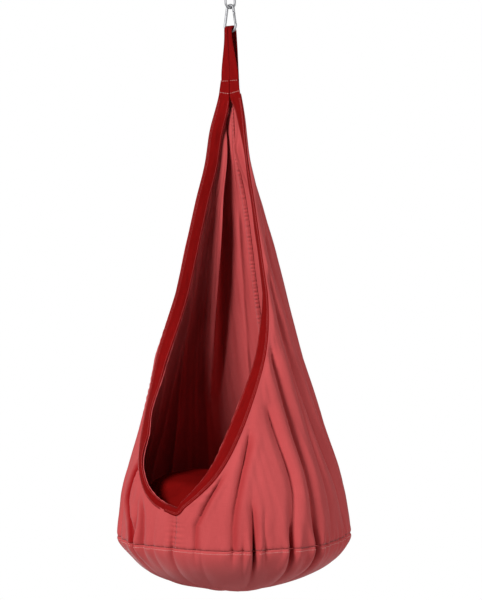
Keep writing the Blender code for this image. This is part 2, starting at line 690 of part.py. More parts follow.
def loop_sections():
    """Cross-sections of the +X strap as (points, thickness): up the front, over the bow, down the back."""
    sections = [(flat_section(STRAP_PLANE, z, LOOP_WIDTH), LOOP_THICKNESS) for z in (COLLAR, LAP_TOP)]
    for k in range(1, LOOP_RISE_ROWS):
        part = k / LOOP_RISE_ROWS
        width = mix(LOOP_WIDTH, LOOP_FOLDED_WIDTH, smooth(part))
        row = flat_section(mix(STRAP_PLANE, -LOOP_RADIUS, part), mix(LAP_TOP, BOW_LEVEL, part), width)
        sections.append((row, mix(LOOP_THICKNESS, LOOP_FOLDED_THICKNESS, smooth(part))))
    for k in range(LOOP_BENDS + 1):
        turn = math.pi * k / LOOP_BENDS
        y, z = -LOOP_RADIUS * math.cos(turn), BOW_LEVEL + LOOP_RADIUS * math.sin(turn)
        sections.append((flat_section(y, z, LOOP_FOLDED_WIDTH), LOOP_FOLDED_THICKNESS))
    folded = flat_section(LOOP_RADIUS, BOW_LEVEL, LOOP_FOLDED_WIDTH)
    neck = neck_section(0.0)
    for k in range(1, LOOP_RISE_ROWS):
        part = k / LOOP_RISE_ROWS
        row = [a.lerp(b, part) for a, b in zip(folded, neck)]
        sections.append((row, mix(LOOP_FOLDED_THICKNESS, LOOP_THICKNESS, smooth(part))))
    for k in range(LOOP_LAP_ROWS + 1):
        sections.append((neck_section(k / LOOP_LAP_ROWS), LOOP_THICKNESS))
    return sections


def loop_strap(name, side, webbing):
    """One of the two straps that carry the pod, folded double in the carabiner."""
    sections = loop_sections()
    rings = []
    for k, (row, thickness) in enumerate(sections):
        before, after = sections[max(k - 1, 0)][0], sections[min(k + 1, len(sections) - 1)][0]
        over, under = [], []
        for j, point in enumerate(row):
            across = row[min(j + 1, LOOP_COLUMNS)] - row[max(j - 1, 0)]
            half = across.cross(after[j] - before[j]).normalized() * (thickness / 2)
            for line, corner in ((over, point + half), (under, point - half)):
                line.append(Vector((side * max(corner.x, FIT / 2), corner.y, corner.z)))
        rings.append(over + under[::-1])
    return add_object(name, ring_mesh(name, rings), webbing)


# Base and cushion

def bowl(inset):
    """(radius, height) points of the base from its seam down, drawn in by an inset."""
    points = []
    for k in range(BASE_RINGS + 1):
        dip = math.pi / 2 * k / (BASE_RINGS + 1)
        radius = (SEAM_RADIUS - inset) * math.cos(dip) ** BASE_TUCK
        points.append((radius, SEAM - SEAM_GAP / 2 - (BASE_DEPTH - inset) * math.sin(dip)))
    points.append((0, SEAM - SEAM_GAP / 2 - BASE_DEPTH + inset))
    return points


def base_panel(cloth):
    """The rounded bottom, open at its seam."""
    mesh = turned_mesh("base_panel", bowl(0.0), BASE_SEGMENTS)
    shape = bmesh.new()
    shape.from_mesh(mesh)
    lid = max(shape.faces, key=lambda face: len(face.verts))
    bmesh.ops.delete(shape, geom=[lid], context="FACES_ONLY")
    shape.to_mesh(mesh)
    shape.free()
    base = add_object("base_panel", mesh, cloth)
    thicken(base, CLOTH_THICKNESS)
    return base


def pocket(cloth, fill):
    """The floor sewn in at the base seam, and the filling that it keeps in the base."""
    inside = CLOTH_THICKNESS / 2 + FIT
    radius = (SEAM_RADIUS - inside) * math.cos(math.pi / BASE_SEGMENTS) - FIT
    under = FLOOR - FLOOR_THICKNESS
    floor_profile = [(0, FLOOR), (radius, FLOOR), (radius, under), (0, under)]
    floor = add_object("pocket_floor", turned_mesh("pocket_floor", floor_profile, BASE_SEGMENTS), cloth)
    top = under - FIT
    below = [point for point in bowl(inside + FIT) if point[1] < top]
    rim = bowl(inside + 2 * FIT)[0][0]
    filling_profile = [(0, top), (rim, top), *below]
    filling = add_object("base_filling", turned_mesh("base_filling", filling_profile, BASE_SEGMENTS), fill)
    return floor, filling


CUSHION_SHARE = (COLLAR - CUSHION_SEAM) / POD_HEIGHT
CUSHION_RADIUS = pod_radius(CUSHION_SHARE) - CLOTH_THICKNESS / 2 - CUSHION_EASE


def cushion_half(inset, up):
    """(radius, height) points from the cushion's seam to its crown or its flat underside."""
    radius = CUSHION_RADIUS - inset
    height = CUSHION_CROWN - inset if up else inset - CUSHION_FOOT
    points = []
    for k in range(CUSHION_RINGS):
        if up:
            share = math.sin(math.pi / 2 * (1 - k / CUSHION_RINGS))
            lift = (1 - share ** CUSHION_FULLNESS) ** (1 / CUSHION_FULLNESS)
        else:
            part = k / (CUSHION_RINGS - 1)
            share = mix(1.0, CUSHION_FLAT_SHARE, part)
            lift = math.sin(math.pi / 2 * part)
        points.append((radius * share, CUSHION_SEAM + height * lift))
    points.append((0, CUSHION_SEAM + height))
    return points


def cushion(cloth, fill):
    """Seat cushion: a cover of two halves and the filling inside it."""
    pieces = []
    for name, up, gap in (("cushion_cover_top", True, FIT / 2), ("cushion_cover_bottom", False, -FIT / 2)):
        outer = cushion_half(0.0, up)
        inner = cushion_half(COVER_THICKNESS, up)
        outer[0] = (outer[0][0], outer[0][1] + gap)
        inner[0] = (inner[0][0], inner[0][1] + gap)
        pieces.append(add_object(name, turned_mesh(name, outer[::-1] + inner, CUSHION_SEGMENTS), cloth))
    inset = COVER_THICKNESS + 2 * FIT
    core = cushion_half(inset, True)[::-1] + cushion_half(inset, False)[1:]
    pieces.append(add_object("cushion_core", turned_mesh("cushion_core", core, CUSHION_SEGMENTS), fill))
    return pieces


def main():
    clear_scene()
    steel = material("steel", (0.62, 0.63, 0.64), 0.3, 1.0)
    cloth = material("coral_cloth", (0.55, 0.10, 0.10), 0.85)
    webbing = material("red_webbing", (0.24, 0.012, 0.013), 0.8)
    red = material("cushion_cloth", (0.33, 0.012, 0.012), 0.85)
    fill = material("filling", (0.85, 0.84, 0.80), 0.9)
    swivel_bow(steel)
    swivel_washer_and_nut(steel)
    swivel_eye(steel)
    hook = [carabiner_body(steel), gate_rivet(steel), *carabiner_gate(steel)]
    joint_axis("carabiner_axis", EYE_BOTTOM, hook)
    pod = [base_panel(cloth), *pocket(cloth, fill), *cushion(red, fill)]
    for word, side in (("left", -1), ("right", 1)):
        pod.append(loop_strap(f"loop_strap_{word}", side, webbing))
        pod.append(edge_band(f"edge_band_{word}", side, webbing))
        pod.append(body_panel(f"body_panel_{word}", side, cloth))
    joint_axis("pod_axis", BOW_LEVEL, pod)


main()
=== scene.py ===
"""The looks of a cocoon hammock, round its CAD part: sewn cloth, webbing, stitching, cushion and steel.

The pod's surface repeats the CAD part's formulas on a finer grid. A place on it is an angle from the front, a
share of the height from the sewn laps down to the base seam, and a side: -1 is left and 1 is right.
"""
import json
import math

import bmesh
import bpy
import numpy as np
from mathutils import Matrix, Quaternion, Vector, noise


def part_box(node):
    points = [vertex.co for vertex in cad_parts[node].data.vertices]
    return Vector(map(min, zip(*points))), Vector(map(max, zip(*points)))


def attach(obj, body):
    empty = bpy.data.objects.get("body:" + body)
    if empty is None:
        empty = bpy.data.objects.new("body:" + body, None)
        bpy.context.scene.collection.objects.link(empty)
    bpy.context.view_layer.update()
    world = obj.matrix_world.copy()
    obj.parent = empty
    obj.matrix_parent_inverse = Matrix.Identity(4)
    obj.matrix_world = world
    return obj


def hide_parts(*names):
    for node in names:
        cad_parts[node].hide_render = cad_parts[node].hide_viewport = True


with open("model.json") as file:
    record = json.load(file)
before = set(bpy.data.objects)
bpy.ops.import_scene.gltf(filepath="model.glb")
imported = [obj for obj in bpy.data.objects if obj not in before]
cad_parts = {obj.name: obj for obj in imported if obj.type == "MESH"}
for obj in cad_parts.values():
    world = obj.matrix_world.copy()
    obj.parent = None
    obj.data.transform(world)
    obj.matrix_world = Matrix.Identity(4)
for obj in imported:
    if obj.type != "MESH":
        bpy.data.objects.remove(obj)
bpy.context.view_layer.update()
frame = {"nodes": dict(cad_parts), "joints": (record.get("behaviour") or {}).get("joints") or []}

# Sizes of the CAD part, in metres and radians
FIT = 0.0003
CARABINER_ROD = 0.007
CARABINER_LENGTH = 0.068
NARROW_RADIUS = 0.0090
WIDE_RADIUS = 0.0155
GATE_ROD = 0.0064
GATE_LENGTH = 0.0270
PIVOT_ROUND = 0.0036
TONGUE_THICKNESS = 0.0028
TONGUE_ROUND = 0.0030
PLUNGER_SHOWS = 0.0012
BOW_ROD = 0.007
BOW_HALF_WIDTH = 0.0135
BOW_INSIDE_HEIGHT = 0.031
BOSS_RADIUS = 0.0085
BOSS_HEIGHT = 0.010
SHANK_RADIUS = 0.0032
EYE_ROD = 0.006
EYE_HALF_WIDTH = 0.014
EYE_TURN = math.radians(60)
FLANGE_RADIUS = 0.006
FLANGE_HEIGHT = 0.006
LOOP_WIDTH = 0.025
LOOP_THICKNESS = 0.002
LOOP_FOLDED_WIDTH = 0.0105
LOOP_FOLDED_THICKNESS = 0.0048
LOOP_RADIUS = 0.01306
LOOP_DROP = 0.1243
LAP_LENGTH = 0.0373
BACK_LAP_LENGTH = 0.045
BAND_WIDTH = 0.034
BAND_THICKNESS = 0.0025
CLOTH_THICKNESS = 0.0025
SEAM_GAP = 0.0008
POD_HEIGHT = 1.127
TOP_RADIUS = 0.020
SEAM_RADIUS = 0.298
BASE_DEPTH = 0.141
BASE_TUCK = 1.20
OUTLINE = ((0.0, 0.0), (0.06, 0.03), (0.15, 0.083), (0.24, 0.194), (0.47, 0.435), (0.74, 0.745),
           (0.88, 0.928), (1.0, 1.0))
EDGE_FLARE = ((0.0, 0.012), (0.10, 0.025), (0.24, 0.018), (0.42, 0.0115), (0.60, 0.007), (0.92, 0.0))
FLARE_REACH = math.radians(40)
OPENING_ANGLE = math.radians(66)
LAP_ANGLE = math.radians(12)
LAP_ANGLE_END = 0.10
OPENING_BEND = 0.45
OPENING_BOTTOM = 0.93
BEND_WEIGHT = 0.20
# Folds of the right panel (1) and the left one (-1): places down each as (share, degrees from the front), how
# far it draws the cloth in, or out if less than 0, and half of its width
FOLDS = {
    1: (
        (((0.68, 50), (0.86, 60), (1.0, 56)), 0.008, 0.012),
        (((0.56, 60), (0.80, 70), (1.0, 72)), 0.009, 0.012),
        (((0.39, 71), (0.66, 85), (0.97, 100)), 0.007, 0.014),
        (((0.30, 82), (0.62, 98), (0.92, 116)), 0.006, 0.015),
        (((0.08, 128), (0.75, 133), (1.0, 130)), 0.009, 0.015),
        (((0.08, 152), (0.80, 153), (1.0, 157)), 0.007, 0.014),
    ),
    -1: (
        (((0.56, 60), (0.82, 52), (0.98, 45)), 0.008, 0.012),
        (((0.42, 72), (0.72, 84), (1.0, 88)), 0.008, 0.014),
        (((0.25, 166), (0.70, 165), (1.0, 163)), 0.006, 0.012),
    ),
}
FOLD_FADE = 0.80
SEAM_FLAT = math.radians(5)
SEAM_CALM = math.radians(18)

# Levels
JOINTS = {joint["name"]: Vector(joint["pos_m"]) for joint in frame["joints"]}
BOW_LEVEL = JOINTS["pod_swing"].z
EYE_BOTTOM = JOINTS["carabiner_swing"].z
PIVOT = JOINTS["gate_open"]
LAP_TOP = BOW_LEVEL - LOOP_DROP
COLLAR = LAP_TOP - LAP_LENGTH
SEAM = COLLAR - POD_HEIGHT

# Cloth and webbing as they look
DEGREE = math.radians(1)
SHEET = 0.0012  # thickness of the canvas
EDGE_ROWS = 220  # rows of a wall's points down the opening's edge
SEAM_ROWS = 30  # and on down the front seam
COLUMNS = 280  # from the opening's edge round to the back seam
BAND_ROWS = 260
# The opening's lower half is drawn to the left, in degrees, and its left edge stands out more, in metres
OPENING_SKEW = ((0.45, 0.0), (0.56, 3.5), (0.68, 8.0), (0.76, 8.0), (0.85, 5.5), (0.91, 4.6), (0.93, 0.0))
LEFT_FLARE = ((0.45, 0.0), (0.58, 0.008), (0.70, 0.0), (0.80, -0.002), (0.86, 0.0))
# Turn of the right band (1) and the left one (-1) out of the cloth's surface, in degrees, down the opening
LIP_TURN = {
    1: ((0.0, 78), (0.02, 100), (0.05, 107), (0.10, 112), (0.15, 119), (0.21, 118), (0.29, 115), (0.37, 110),
        (0.45, 106), (0.62, 58), (0.74, 24), (0.80, 24), (0.85, 30), (0.905, 38), (0.93, 45)),
    -1: ((0.0, 78), (0.06, 100), (0.45, 100), (0.62, 58), (0.72, 26), (0.785, 27), (0.845, 8), (0.90, 14),
         (0.93, 45)),
}
TUCK = 0.0057  # of the wall's edge under a band that lies flat
WEBBING_THICKNESS = BAND_THICKNESS * 0.8  # of a band as it looks, pressed by its stitches
WEBBING_FRONT = BAND_THICKNESS * 0.4  # from its middle to where stitches lie on it
BAND_CUP = 0.0010  # how far a band's middle stands out
BAND_RIDGE = {1: 0.008, -1: 0.002}  # and how far near the foot
# Share of each band's width that shows; the rest is turned under near the foot
BAND_SHOWS = {
    1: ((0.80, 1.0), (0.86, 0.93), (0.90, 0.82), (0.93, 0.64)),
    -1: ((0.78, 1.0), (0.85, 0.60), (0.93, 0.60)),
}
CREASE = "crease"  # the mesh attribute that tells how much painted shade the cloth gets in its creases, 0 to 1
HEM_SHOWS = 0.0016  # of the canvas facing, past the band's free edge
HEM_START = 0.006  # from the band's sewn edge to where the facing begins
OVERLAP = 0.009  # of the right band over the left one at the foot
SEAM_STRIP = 0.013  # width of the felled seam down the back
THREAD = 0.0007
STITCH_PITCH = 0.0042
STITCH_LENGTH = 0.0032
LAP_STITCHES = {"pitch": 0.0054, "length": 0.0036, "thread": 0.0009}
BAND_STITCH_LINES = (0.09, 0.19, 0.91)  # shares of a band's width


# Helpers

def smooth(share):
    share = np.clip(share, 0.0, 1.0)
    return share * share * (3 - 2 * share)


def mix(low, high, share):
    return low + (high - low) * share


def unit(vectors):
    return vectors / np.linalg.norm(vectors, axis=-1, keepdims=True)


def bell(value):
    return np.exp(-value ** 2)


def circle(count):
    """Angles once round, the first at 0."""
    return np.linspace(0, 2 * math.pi, count, endpoint=False)


def run_along(points):
    """The length along a line of points, up to each of them."""
    return np.cumsum(np.append(0, np.linalg.norm(np.diff(points, axis=0), axis=1)))


def joined(*values):
    """Arrays or numbers put together as points or places."""
    return np.stack(np.broadcast_arrays(*values), axis=-1)


def between(value, limits):
    """How far a value is from a lower limit to an upper one, 0 to 1."""
    return np.clip((value - limits[0]) / (limits[1] - limits[0]), 0.0, 1.0)


def along(stations, place):
    """A smooth curve through (place, value) stations."""
    x, y = np.array(stations).T
    ends = np.arange(len(x))
    before, after = np.maximum(ends - 1, 0), np.minimum(ends + 1, len(x) - 1)
    slopes = (y[after] - y[before]) / (x[after] - x[before])
    k = np.clip(np.searchsorted(x, place) - 1, 0, len(x) - 2)
    run = x[k + 1] - x[k]
    part = np.clip((place - x[k]) / run, 0.0, 1.0)
    rest = 1 - part
    heights = y[k] * rest * rest * (1 + 2 * part) + y[k + 1] * part * part * (3 - 2 * part)
    return heights + run * part * rest * (slopes[k] * rest - slopes[k + 1] * part)


def rough(u, v, w):
    """Smooth noise, about -1 to 1, over three arrays or numbers."""
    u, v, w = np.broadcast_arrays(u, v, w)
    flat = zip(np.ravel(u), np.ravel(v), np.ravel(w))
    return np.array([noise.noise(place) for place in flat]).reshape(np.shape(u))


def linked(name, data):
    thing = bpy.data.objects.new(name, data)
    bpy.context.scene.collection.objects.link(thing)
    return thing


def add(name, mesh, finish, body, stands_for=()):
    piece = linked(name, mesh)
    mesh.materials.append(finish)
    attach(piece, body)
    if stands_for:
        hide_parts(*stands_for)
    return piece


def mesh_of(name, points, faces, places=None):
    """A smooth mesh. places are each point's place in the cloth, in metres, kept as a UV map."""
    mesh = bpy.data.meshes.new(name)
    mesh.from_pydata(np.reshape(points, (-1, 3)).tolist(), [], faces)
    if places is not None:
        corners = np.zeros(len(mesh.loops), np.int32)
        mesh.loops.foreach_get("vertex_index", corners)
        layer = mesh.uv_layers.new(name="cloth")
        layer.data.foreach_set("uv", np.reshape(places, (-1, 2))[corners].astype(np.float32).ravel())
    mesh.shade_smooth()
    return mesh


def grid_faces(rows, columns, closed=False):
    index = np.arange(rows * columns).reshape(rows, columns)
    if closed:
        index = np.hstack([index, index[:, :1]])
    quads = [index[:-1, :-1], index[:-1, 1:], index[1:, 1:], index[1:, :-1]]
    return np.stack(quads, axis=-1).reshape(-1, 4).tolist()


def first_ring(columns):
    return list(range(columns))[::-1]


def last_ring(rows, columns):
    return list(range((rows - 1) * columns, rows * columns))


def capped_faces(rows, columns):
    """Faces of a closed skin through rings of points, with a cap at both ends."""
    return grid_faces(rows, columns, closed=True) + [first_ring(columns), last_ring(rows, columns)]


def ring_mesh(name, rings, places=None):
    """A capped skin through rings of points, facing outward."""
    mesh = mesh_of(name, rings, capped_faces(*rings.shape[:2]), places)
    shape = bmesh.new()
    shape.from_mesh(mesh)
    bmesh.ops.recalc_face_normals(shape, faces=shape.faces)
    shape.to_mesh(mesh)
    shape.free()
    return mesh


def cut_mesh(mesh, other, operation):
    """One mesh joined with another, or cut by it."""
    pair = [linked(data.name, data) for data in (mesh, other)]
    cut = pair[0].modifiers.new("cut", "BOOLEAN")
    cut.operation = operation
    cut.solver = "EXACT"
    cut.object = pair[1]
    graph = bpy.context.evaluated_depsgraph_get()
    made = bpy.data.meshes.new_from_object(pair[0].evaluated_get(graph))
    for thing in pair:
        bpy.data.objects.remove(thing)
    made.shade_smooth()
    made.set_sharp_from_angle(angle=math.radians(35))
    return made


# Materials

def set_inputs(tree, made, inputs):
    """Gives a node's inputs their values, or links them to other nodes."""
    for name, value in dict(inputs).items():
        if isinstance(value, bpy.types.NodeSocket):
            tree.links.new(value, made.inputs[name])
        else:
            made.inputs[name].default_value = value


def node(tree, kind, settings=(), inputs=()):
    made = tree.nodes.new(kind)
    for name, value in dict(settings).items():
        setattr(made, name, value)
    set_inputs(tree, made, inputs)
    return made


def new_material(name):
    """A material, its node tree, the place on the object, and the place in the cloth from the UV map."""
    made = bpy.data.materials.new(name)
    made.use_nodes = True
    place = node(made.node_tree, "ShaderNodeTexCoord").outputs
    return made, made.node_tree, place["Object"], place["UV"]


def surface(tree, inputs):
    set_inputs(tree, tree.nodes["Principled BSDF"], inputs)


def shades(tree, factor, dark, light):
    """A colour between two shades."""
    ramp = node(tree, "ShaderNodeValToRGB", inputs={"Fac": factor})
    ramp.color_ramp.elements[0].color = (*dark, 1.0)
    ramp.color_ramp.elements[1].color = (*light, 1.0)
    return ramp.outputs["Color"]


def noise_of(tree, vector, scale, detail=3.0):
    settings = {"Vector": vector, "Scale": scale, "Detail": detail}
    return node(tree, "ShaderNodeTexNoise", inputs=settings).outputs["Fac"]


def maths(tree, operation, *values):
    return node(tree, "ShaderNodeMath", {"operation": operation}, enumerate(values)).outputs[0]


def weighted(tree, first, first_weight, second, second_weight):
    parts = maths(tree, "MULTIPLY", first, first_weight), maths(tree, "MULTIPLY", second, second_weight)
    return maths(tree, "ADD", *parts)


def stretched(tree, vector, scale):
    return node(tree, "ShaderNodeMapping", inputs={"Vector": vector, "Scale": scale}).outputs["Vector"]


def weave_of(tree, vector, pitch):
    """Threads that cross at a pitch."""
    scale = 2 * math.pi / (20 * pitch)
    ways = [node(tree, "ShaderNodeTexWave", {"wave_type": "BANDS", "bands_direction": way},
                 {"Vector": vector, "Scale": scale}).outputs["Fac"] for way in "XY"]
    return maths(tree, "MULTIPLY", *ways)


def bumps(tree, height, strength, distance):
    inputs = {"Strength": strength, "Distance": distance, "Height": height}
    return node(tree, "ShaderNodeBump", inputs=inputs).outputs["Normal"]


def canvas(name, dark, light, painted_crease_red, thread_pitch=0.0011):
    """Plain-woven cotton: threads, slubs along them, a slow change of shade, and a painted shade of deeper
    red in sharp creases, where the crease attribute marks them."""
    made, tree, solid, cloth = new_material(name)
    weave = weave_of(tree, cloth, thread_pitch)
    slubs = maths(tree, "ADD", noise_of(tree, stretched(tree, cloth, (900, 45, 1)), 1.0),
                  noise_of(tree, stretched(tree, cloth, (45, 900, 1)), 1.0))
    slow = noise_of(tree, solid, 7.0, 4.0)
    open_cloth = shades(tree, weighted(tree, slubs, 0.3, slow, 0.4), dark, light)
    # Painted shade: the colour turns a deeper red where the crease attribute is high
    painted_shade = node(tree, "ShaderNodeAttribute", {"attribute_name": CREASE}).outputs["Fac"]
    crease_shade_mix = {"Fac": painted_shade, "Color1": open_cloth, "Color2": shades(tree, slubs, *painted_crease_red)}
    surface(tree, {
        "Base Color": node(tree, "ShaderNodeMixRGB", inputs=crease_shade_mix).outputs["Color"],
        "Normal": bumps(tree, weighted(tree, weave, 0.6, slubs, 0.4), 0.5, 0.0003),
        "Roughness": 0.9, "Specular IOR Level": 0.0, "Sheen Weight": 0.2, "Sheen Roughness": 0.45,
    })
    return made


def herringbone(name, dark, light, rib=0.0016, column=0.0045):
    """Woven webbing: slanting ribs that turn back at each column, and worn lighter edges on them."""
    made, tree, _, cloth = new_material(name)
    parts = node(tree, "ShaderNodeSeparateXYZ", inputs={"Vector": cloth})
    zigzag = maths(tree, "PINGPONG", parts.outputs["X"], column)
    slope = maths(tree, "ADD", parts.outputs["Y"], zigzag)
    ribs = maths(tree, "SINE", maths(tree, "MULTIPLY", slope, 2 * math.pi / rib))
    ribs = maths(tree, "MULTIPLY_ADD", ribs, 0.5, 0.5)
    wear = noise_of(tree, stretched(tree, cloth, (120, 25, 1)), 1.0, 5.0)
    surface(tree, {
        "Base Color": shades(tree, weighted(tree, ribs, 0.35, wear, 0.65), dark, light),
        "Normal": bumps(tree, ribs, 0.6, 0.0004),
        "Roughness": 0.75, "Specular IOR Level": 0.02, "Sheen Weight": 0.02,
    })
    return made


def cushion_cloth(name, dark, light, thread_pitch=0.0012):
    """Close-woven cotton whose weave follows the solid, because the cushion has no flat places."""
    made, tree, solid, _ = new_material(name)
    threads = weave_of(tree, solid, thread_pitch)
    slow = noise_of(tree, solid, 9.0, 5.0)
    surface(tree, {
        "Base Color": shades(tree, weighted(tree, threads, 0.25, slow, 0.75), dark, light),
        "Normal": bumps(tree, threads, 0.4, 0.0003),
        "Roughness": 0.9, "Specular IOR Level": 0.0,
    })
    return made


def plain_finish(name, dark, light, grain, roughness):
    """A matt surface with a grain of two shades."""
    made, tree, solid, _ = new_material(name)
    colour = shades(tree, noise_of(tree, solid, grain), dark, light)
    surface(tree, {"Base Color": colour, "Roughness": roughness})
    return made


def steel_finish(name, dark, light):
    """Zinc-plated steel, a little dull, with fine rubs."""
    made, tree, solid, _ = new_material(name)
    rubs = noise_of(tree, stretched(tree, solid, (900, 900, 120)), 1.0, 4.0)
    surface(tree, {
        "Base Color": shades(tree, noise_of(tree, solid, 180.0, 4.0), dark, light),
        "Roughness": maths(tree, "MULTIPLY_ADD", rubs, 0.25, 0.34),
        "Normal": bumps(tree, rubs, 0.15, 0.0001),
        "Metallic": 1.0,
    })
    return made


SEWING_THREAD = {"grain": 260.0, "roughness": 0.6}
# The second pair of shades is painted shade, the deep red of the canvas in its creases
CORAL = canvas("coral_canvas", (0.38, 0.045, 0.046), (0.60, 0.100, 0.102),
               painted_crease_red=((0.20, 0.003, 0.004), (0.28, 0.006, 0.008)))
RED_WEBBING = herringbone("red_webbing", (0.11, 0.002, 0.002), (0.29, 0.005, 0.005))
RED_CLOTH = cushion_cloth("red_cushion_cloth", (0.12, 0.003, 0.003), (0.22, 0.005, 0.004))
CORAL_THREAD = plain_finish("coral_thread", (0.30, 0.025, 0.027), (0.55, 0.10, 0.10), **SEWING_THREAD)
PINK_THREAD = plain_finish("pink_thread", (0.62, 0.30, 0.28), (0.80, 0.50, 0.46), **SEWING_THREAD)
STEEL = steel_finish("plated_steel", (0.14, 0.14, 0.145), (0.25, 0.25, 0.26))


# Pod surface

FOOT_NARROWING = 1.6  # powers that shape the opening's foot
FOOT_ROUNDNESS = 0.7


def pod_radius(share):
    return mix(TOP_RADIUS, SEAM_RADIUS, along(OUTLINE, share))


def level(share):
    return COLLAR - POD_HEIGHT * share


def opening_angle(share, side):
    bend = np.clip((share - OPENING_BEND) / (OPENING_BOTTOM - OPENING_BEND), 0.0, 1.0)
    at_lap = LAP_ANGLE * (1 - smooth(share / LAP_ANGLE_END))
    half = OPENING_ANGLE * (1 - bend ** FOOT_NARROWING) ** FOOT_ROUNDNESS
    return at_lap + half - side * DEGREE * along(OPENING_SKEW, share)


def past_edge(angle, share, side):
    """The angle from the opening's edge."""
    return angle - opening_angle(share, side)


def smooth_radius(angle, share, side):
    near_edge = 1 - smooth(past_edge(angle, share, side) / FLARE_REACH)
    flare = along(EDGE_FLARE, share)
    if side < 0:
        flare = flare + along(LEFT_FLARE, share)
    return pod_radius(share) + flare * near_edge


# The big pleat behind the left band: its ridge in degrees and its depth, down the wall
PLEAT_RIDGE = ((0.05, 116), (0.20, 121), (0.32, 127), (0.60, 131), (1.0, 136))
PLEAT_DEPTH = ((0.045, 0.0), (0.12, 0.018), (0.22, 0.028), (0.36, 0.034), (0.50, 0.028), (0.65, 0.022),
               (0.80, 0.014), (1.0, 0.004))
PLEAT_RAMP = 1.7  # power of the cloth's way in from the band to the ridge
PLEAT_BACK = math.radians(13)  # from the ridge to the bottom of the recess behind it
RECESS_SHARE = 0.6  # of the pleat's depth
RECESS_REACH = math.radians(17)
# The soft hollow in the right wall: depth, and its middle and half size down and round the pod
HOLLOW_DEPTH = 0.006
HOLLOW_SHARE, HOLLOW_HEIGHT = 0.60, 0.16
HOLLOW_DEGREES, HOLLOW_WIDTH = 118, 25
# How far the back of the neck hangs in, in metres, and the degrees from where to where that sets in
NECK_DIP = ((0.0, 0.006), (0.03, 0.012), (0.09, 0.015), (0.14, 0.012), (0.22, 0.003), (0.28, 0.0))
NECK_BACK = (118, 154)
# A fold's section: share and sharpness of the crease in its valley, fullness and width of its shoulders
FOLD_SECTION = {"crease": 0.5, "sharpness": 2.8, "shoulder": 1.3}
FOLD_FULLNESS = 0.3
FULLNESS_SETS_IN = (0.08, 0.38)  # shares of the height
SHOULDER_AT = 2.2  # half widths from a fold's middle
FOLD_GAIN = 1.7  # the solids' folds, a little deeper
FOLD_LOSS = 0.4  # of a fold's depth, down to the base seam
CREASE_RISE = 0.05  # share of the height in which a crease deepens
CREASE_CALM = math.radians(5)  # smooth strip beside the opening
CREASE_SHADE_DEPTHS = (0.004, 0.010)  # depths at which a crease's painted shade begins, and at which it is as dark as it gets
SHADE_BEHIND = 0.7  # half widths from a crease's middle to the darkest line of its painted shade
# Lesser creases that the solids don't have, given as the folds are
CREASES = {
    1: (
        (((0.74, 39), (0.79, 36), (0.85, 32), (0.91, 29), (0.95, 28)), 0.007, 0.009),
        (((0.82, 26), (0.895, 16), (0.95, 10)), 0.007, 0.007),
        (((0.88, 37), (0.94, 38), (1.0, 38)), 0.006, 0.007),
        (((0.90, 44), (0.96, 43), (1.0, 43)), 0.004, 0.007),
        (((0.47, 76), (0.70, 80), (0.90, 84)), 0.003, 0.008),
        (((0.10, 106), (0.50, 112), (0.85, 120)), 0.005, 0.012),
        (((0.20, 141), (0.60, 143), (0.90, 144)), 0.004, 0.010),
        (((0.45, 165), (0.70, 166), (0.95, 168)), 0.004, 0.010),
    ),
    -1: (
        (((0.80, 34), (0.85, 36.5), (0.90, 38), (0.93, 35.5), (0.96, 31), (1.0, 27)), 0.011, 0.009),
        (((0.885, 25), (0.93, 21), (0.97, 20)), 0.007, 0.007),
        (((0.60, 70), (0.80, 66), (1.0, 64)), 0.005, 0.009),
        (((0.30, 82), (0.66, 104), (0.96, 116)), 0.005, 0.012),
        (((0.20, 92), (0.50, 96), (0.85, 98)), 0.004, 0.012),
    ),
}


def neck_dip(angle, share):
    return along(NECK_DIP, share) * smooth(between(np.degrees(angle), NECK_BACK))


def left_pleat(angle, share):
    """The cloth comes in from the left band to a ridge, and turns back sharply into a recess."""
    edge = opening_angle(share, -1)
    ridge = DEGREE * along(PLEAT_RIDGE, share)
    ramp = between(angle, (edge, ridge)) ** PLEAT_RAMP
    back = (1 + RECESS_SHARE) * smooth((angle - ridge) / PLEAT_BACK)
    rest = RECESS_SHARE * smooth((angle - ridge - PLEAT_BACK) / RECESS_REACH)
    return along(PLEAT_DEPTH, share) * (ramp - back + rest)


def right_hollow(angle, share):
    around = bell((np.degrees(angle) - HOLLOW_DEGREES) / HOLLOW_WIDTH)
    return HOLLOW_DEPTH * bell((share - HOLLOW_SHARE) / HOLLOW_HEIGHT) * around


def fold_section(off, crease, sharpness, fullness, shoulder):
    """Depth across a fold, at off half widths from its middle: a valley with a sharper crease in it, between
    shoulders of fuller cloth."""
    valley = (1 - crease) * bell(off) + crease * bell(sharpness * off)
    return valley - fullness * bell((off - SHOULDER_AT) / shoulder)


def from_line(line, angle, share):
    """The distance round the pod from a fold's line, more than 0 toward the back."""
    return (angle - DEGREE * along(line, share)) * pod_radius(share)


def begun(line, share):
    """How far a fold has deepened below its upper end, 0 to 1."""
    return smooth((share - line[0][0]) / CREASE_RISE)


def folds(angle, share, side):
    """How far folds and creases draw the cloth in: narrow valleys between fuller stretches of cloth."""
    drawn = np.zeros(np.shape(angle))
    fullness = FOLD_FULLNESS * smooth(between(share, FULLNESS_SETS_IN))
    for line, depth, half_width in FOLDS[side] + CREASES[side]:
        off = np.abs(from_line(line, angle, share)) / half_width
        section = fold_section(off, fullness=fullness, **FOLD_SECTION)
        drawn += FOLD_GAIN * depth * begun(line, share) * section
    beside_opening = smooth(past_edge(angle, share, side) / CREASE_CALM)
    beside_seam = smooth((math.pi - SEAM_FLAT - angle) / SEAM_CALM)
    faded = 1 - FOLD_LOSS * smooth(between(share, (FOLD_FADE, 1.0)))
    return drawn * beside_opening * beside_seam * faded


def crease_shading(angle, share, side):
    """How much painted shade a wall gets along the sharper creases, 0 to 1."""
    painted_shade = np.zeros(np.shape(angle))
    for line, depth, half_width in CREASES[side]:
        near = bell(from_line(line, angle, share) / half_width - SHADE_BEHIND)
        painted_shade = np.maximum(painted_shade, between(depth, CREASE_SHADE_DEPTHS) * begun(line, share) * near)
    return painted_shade
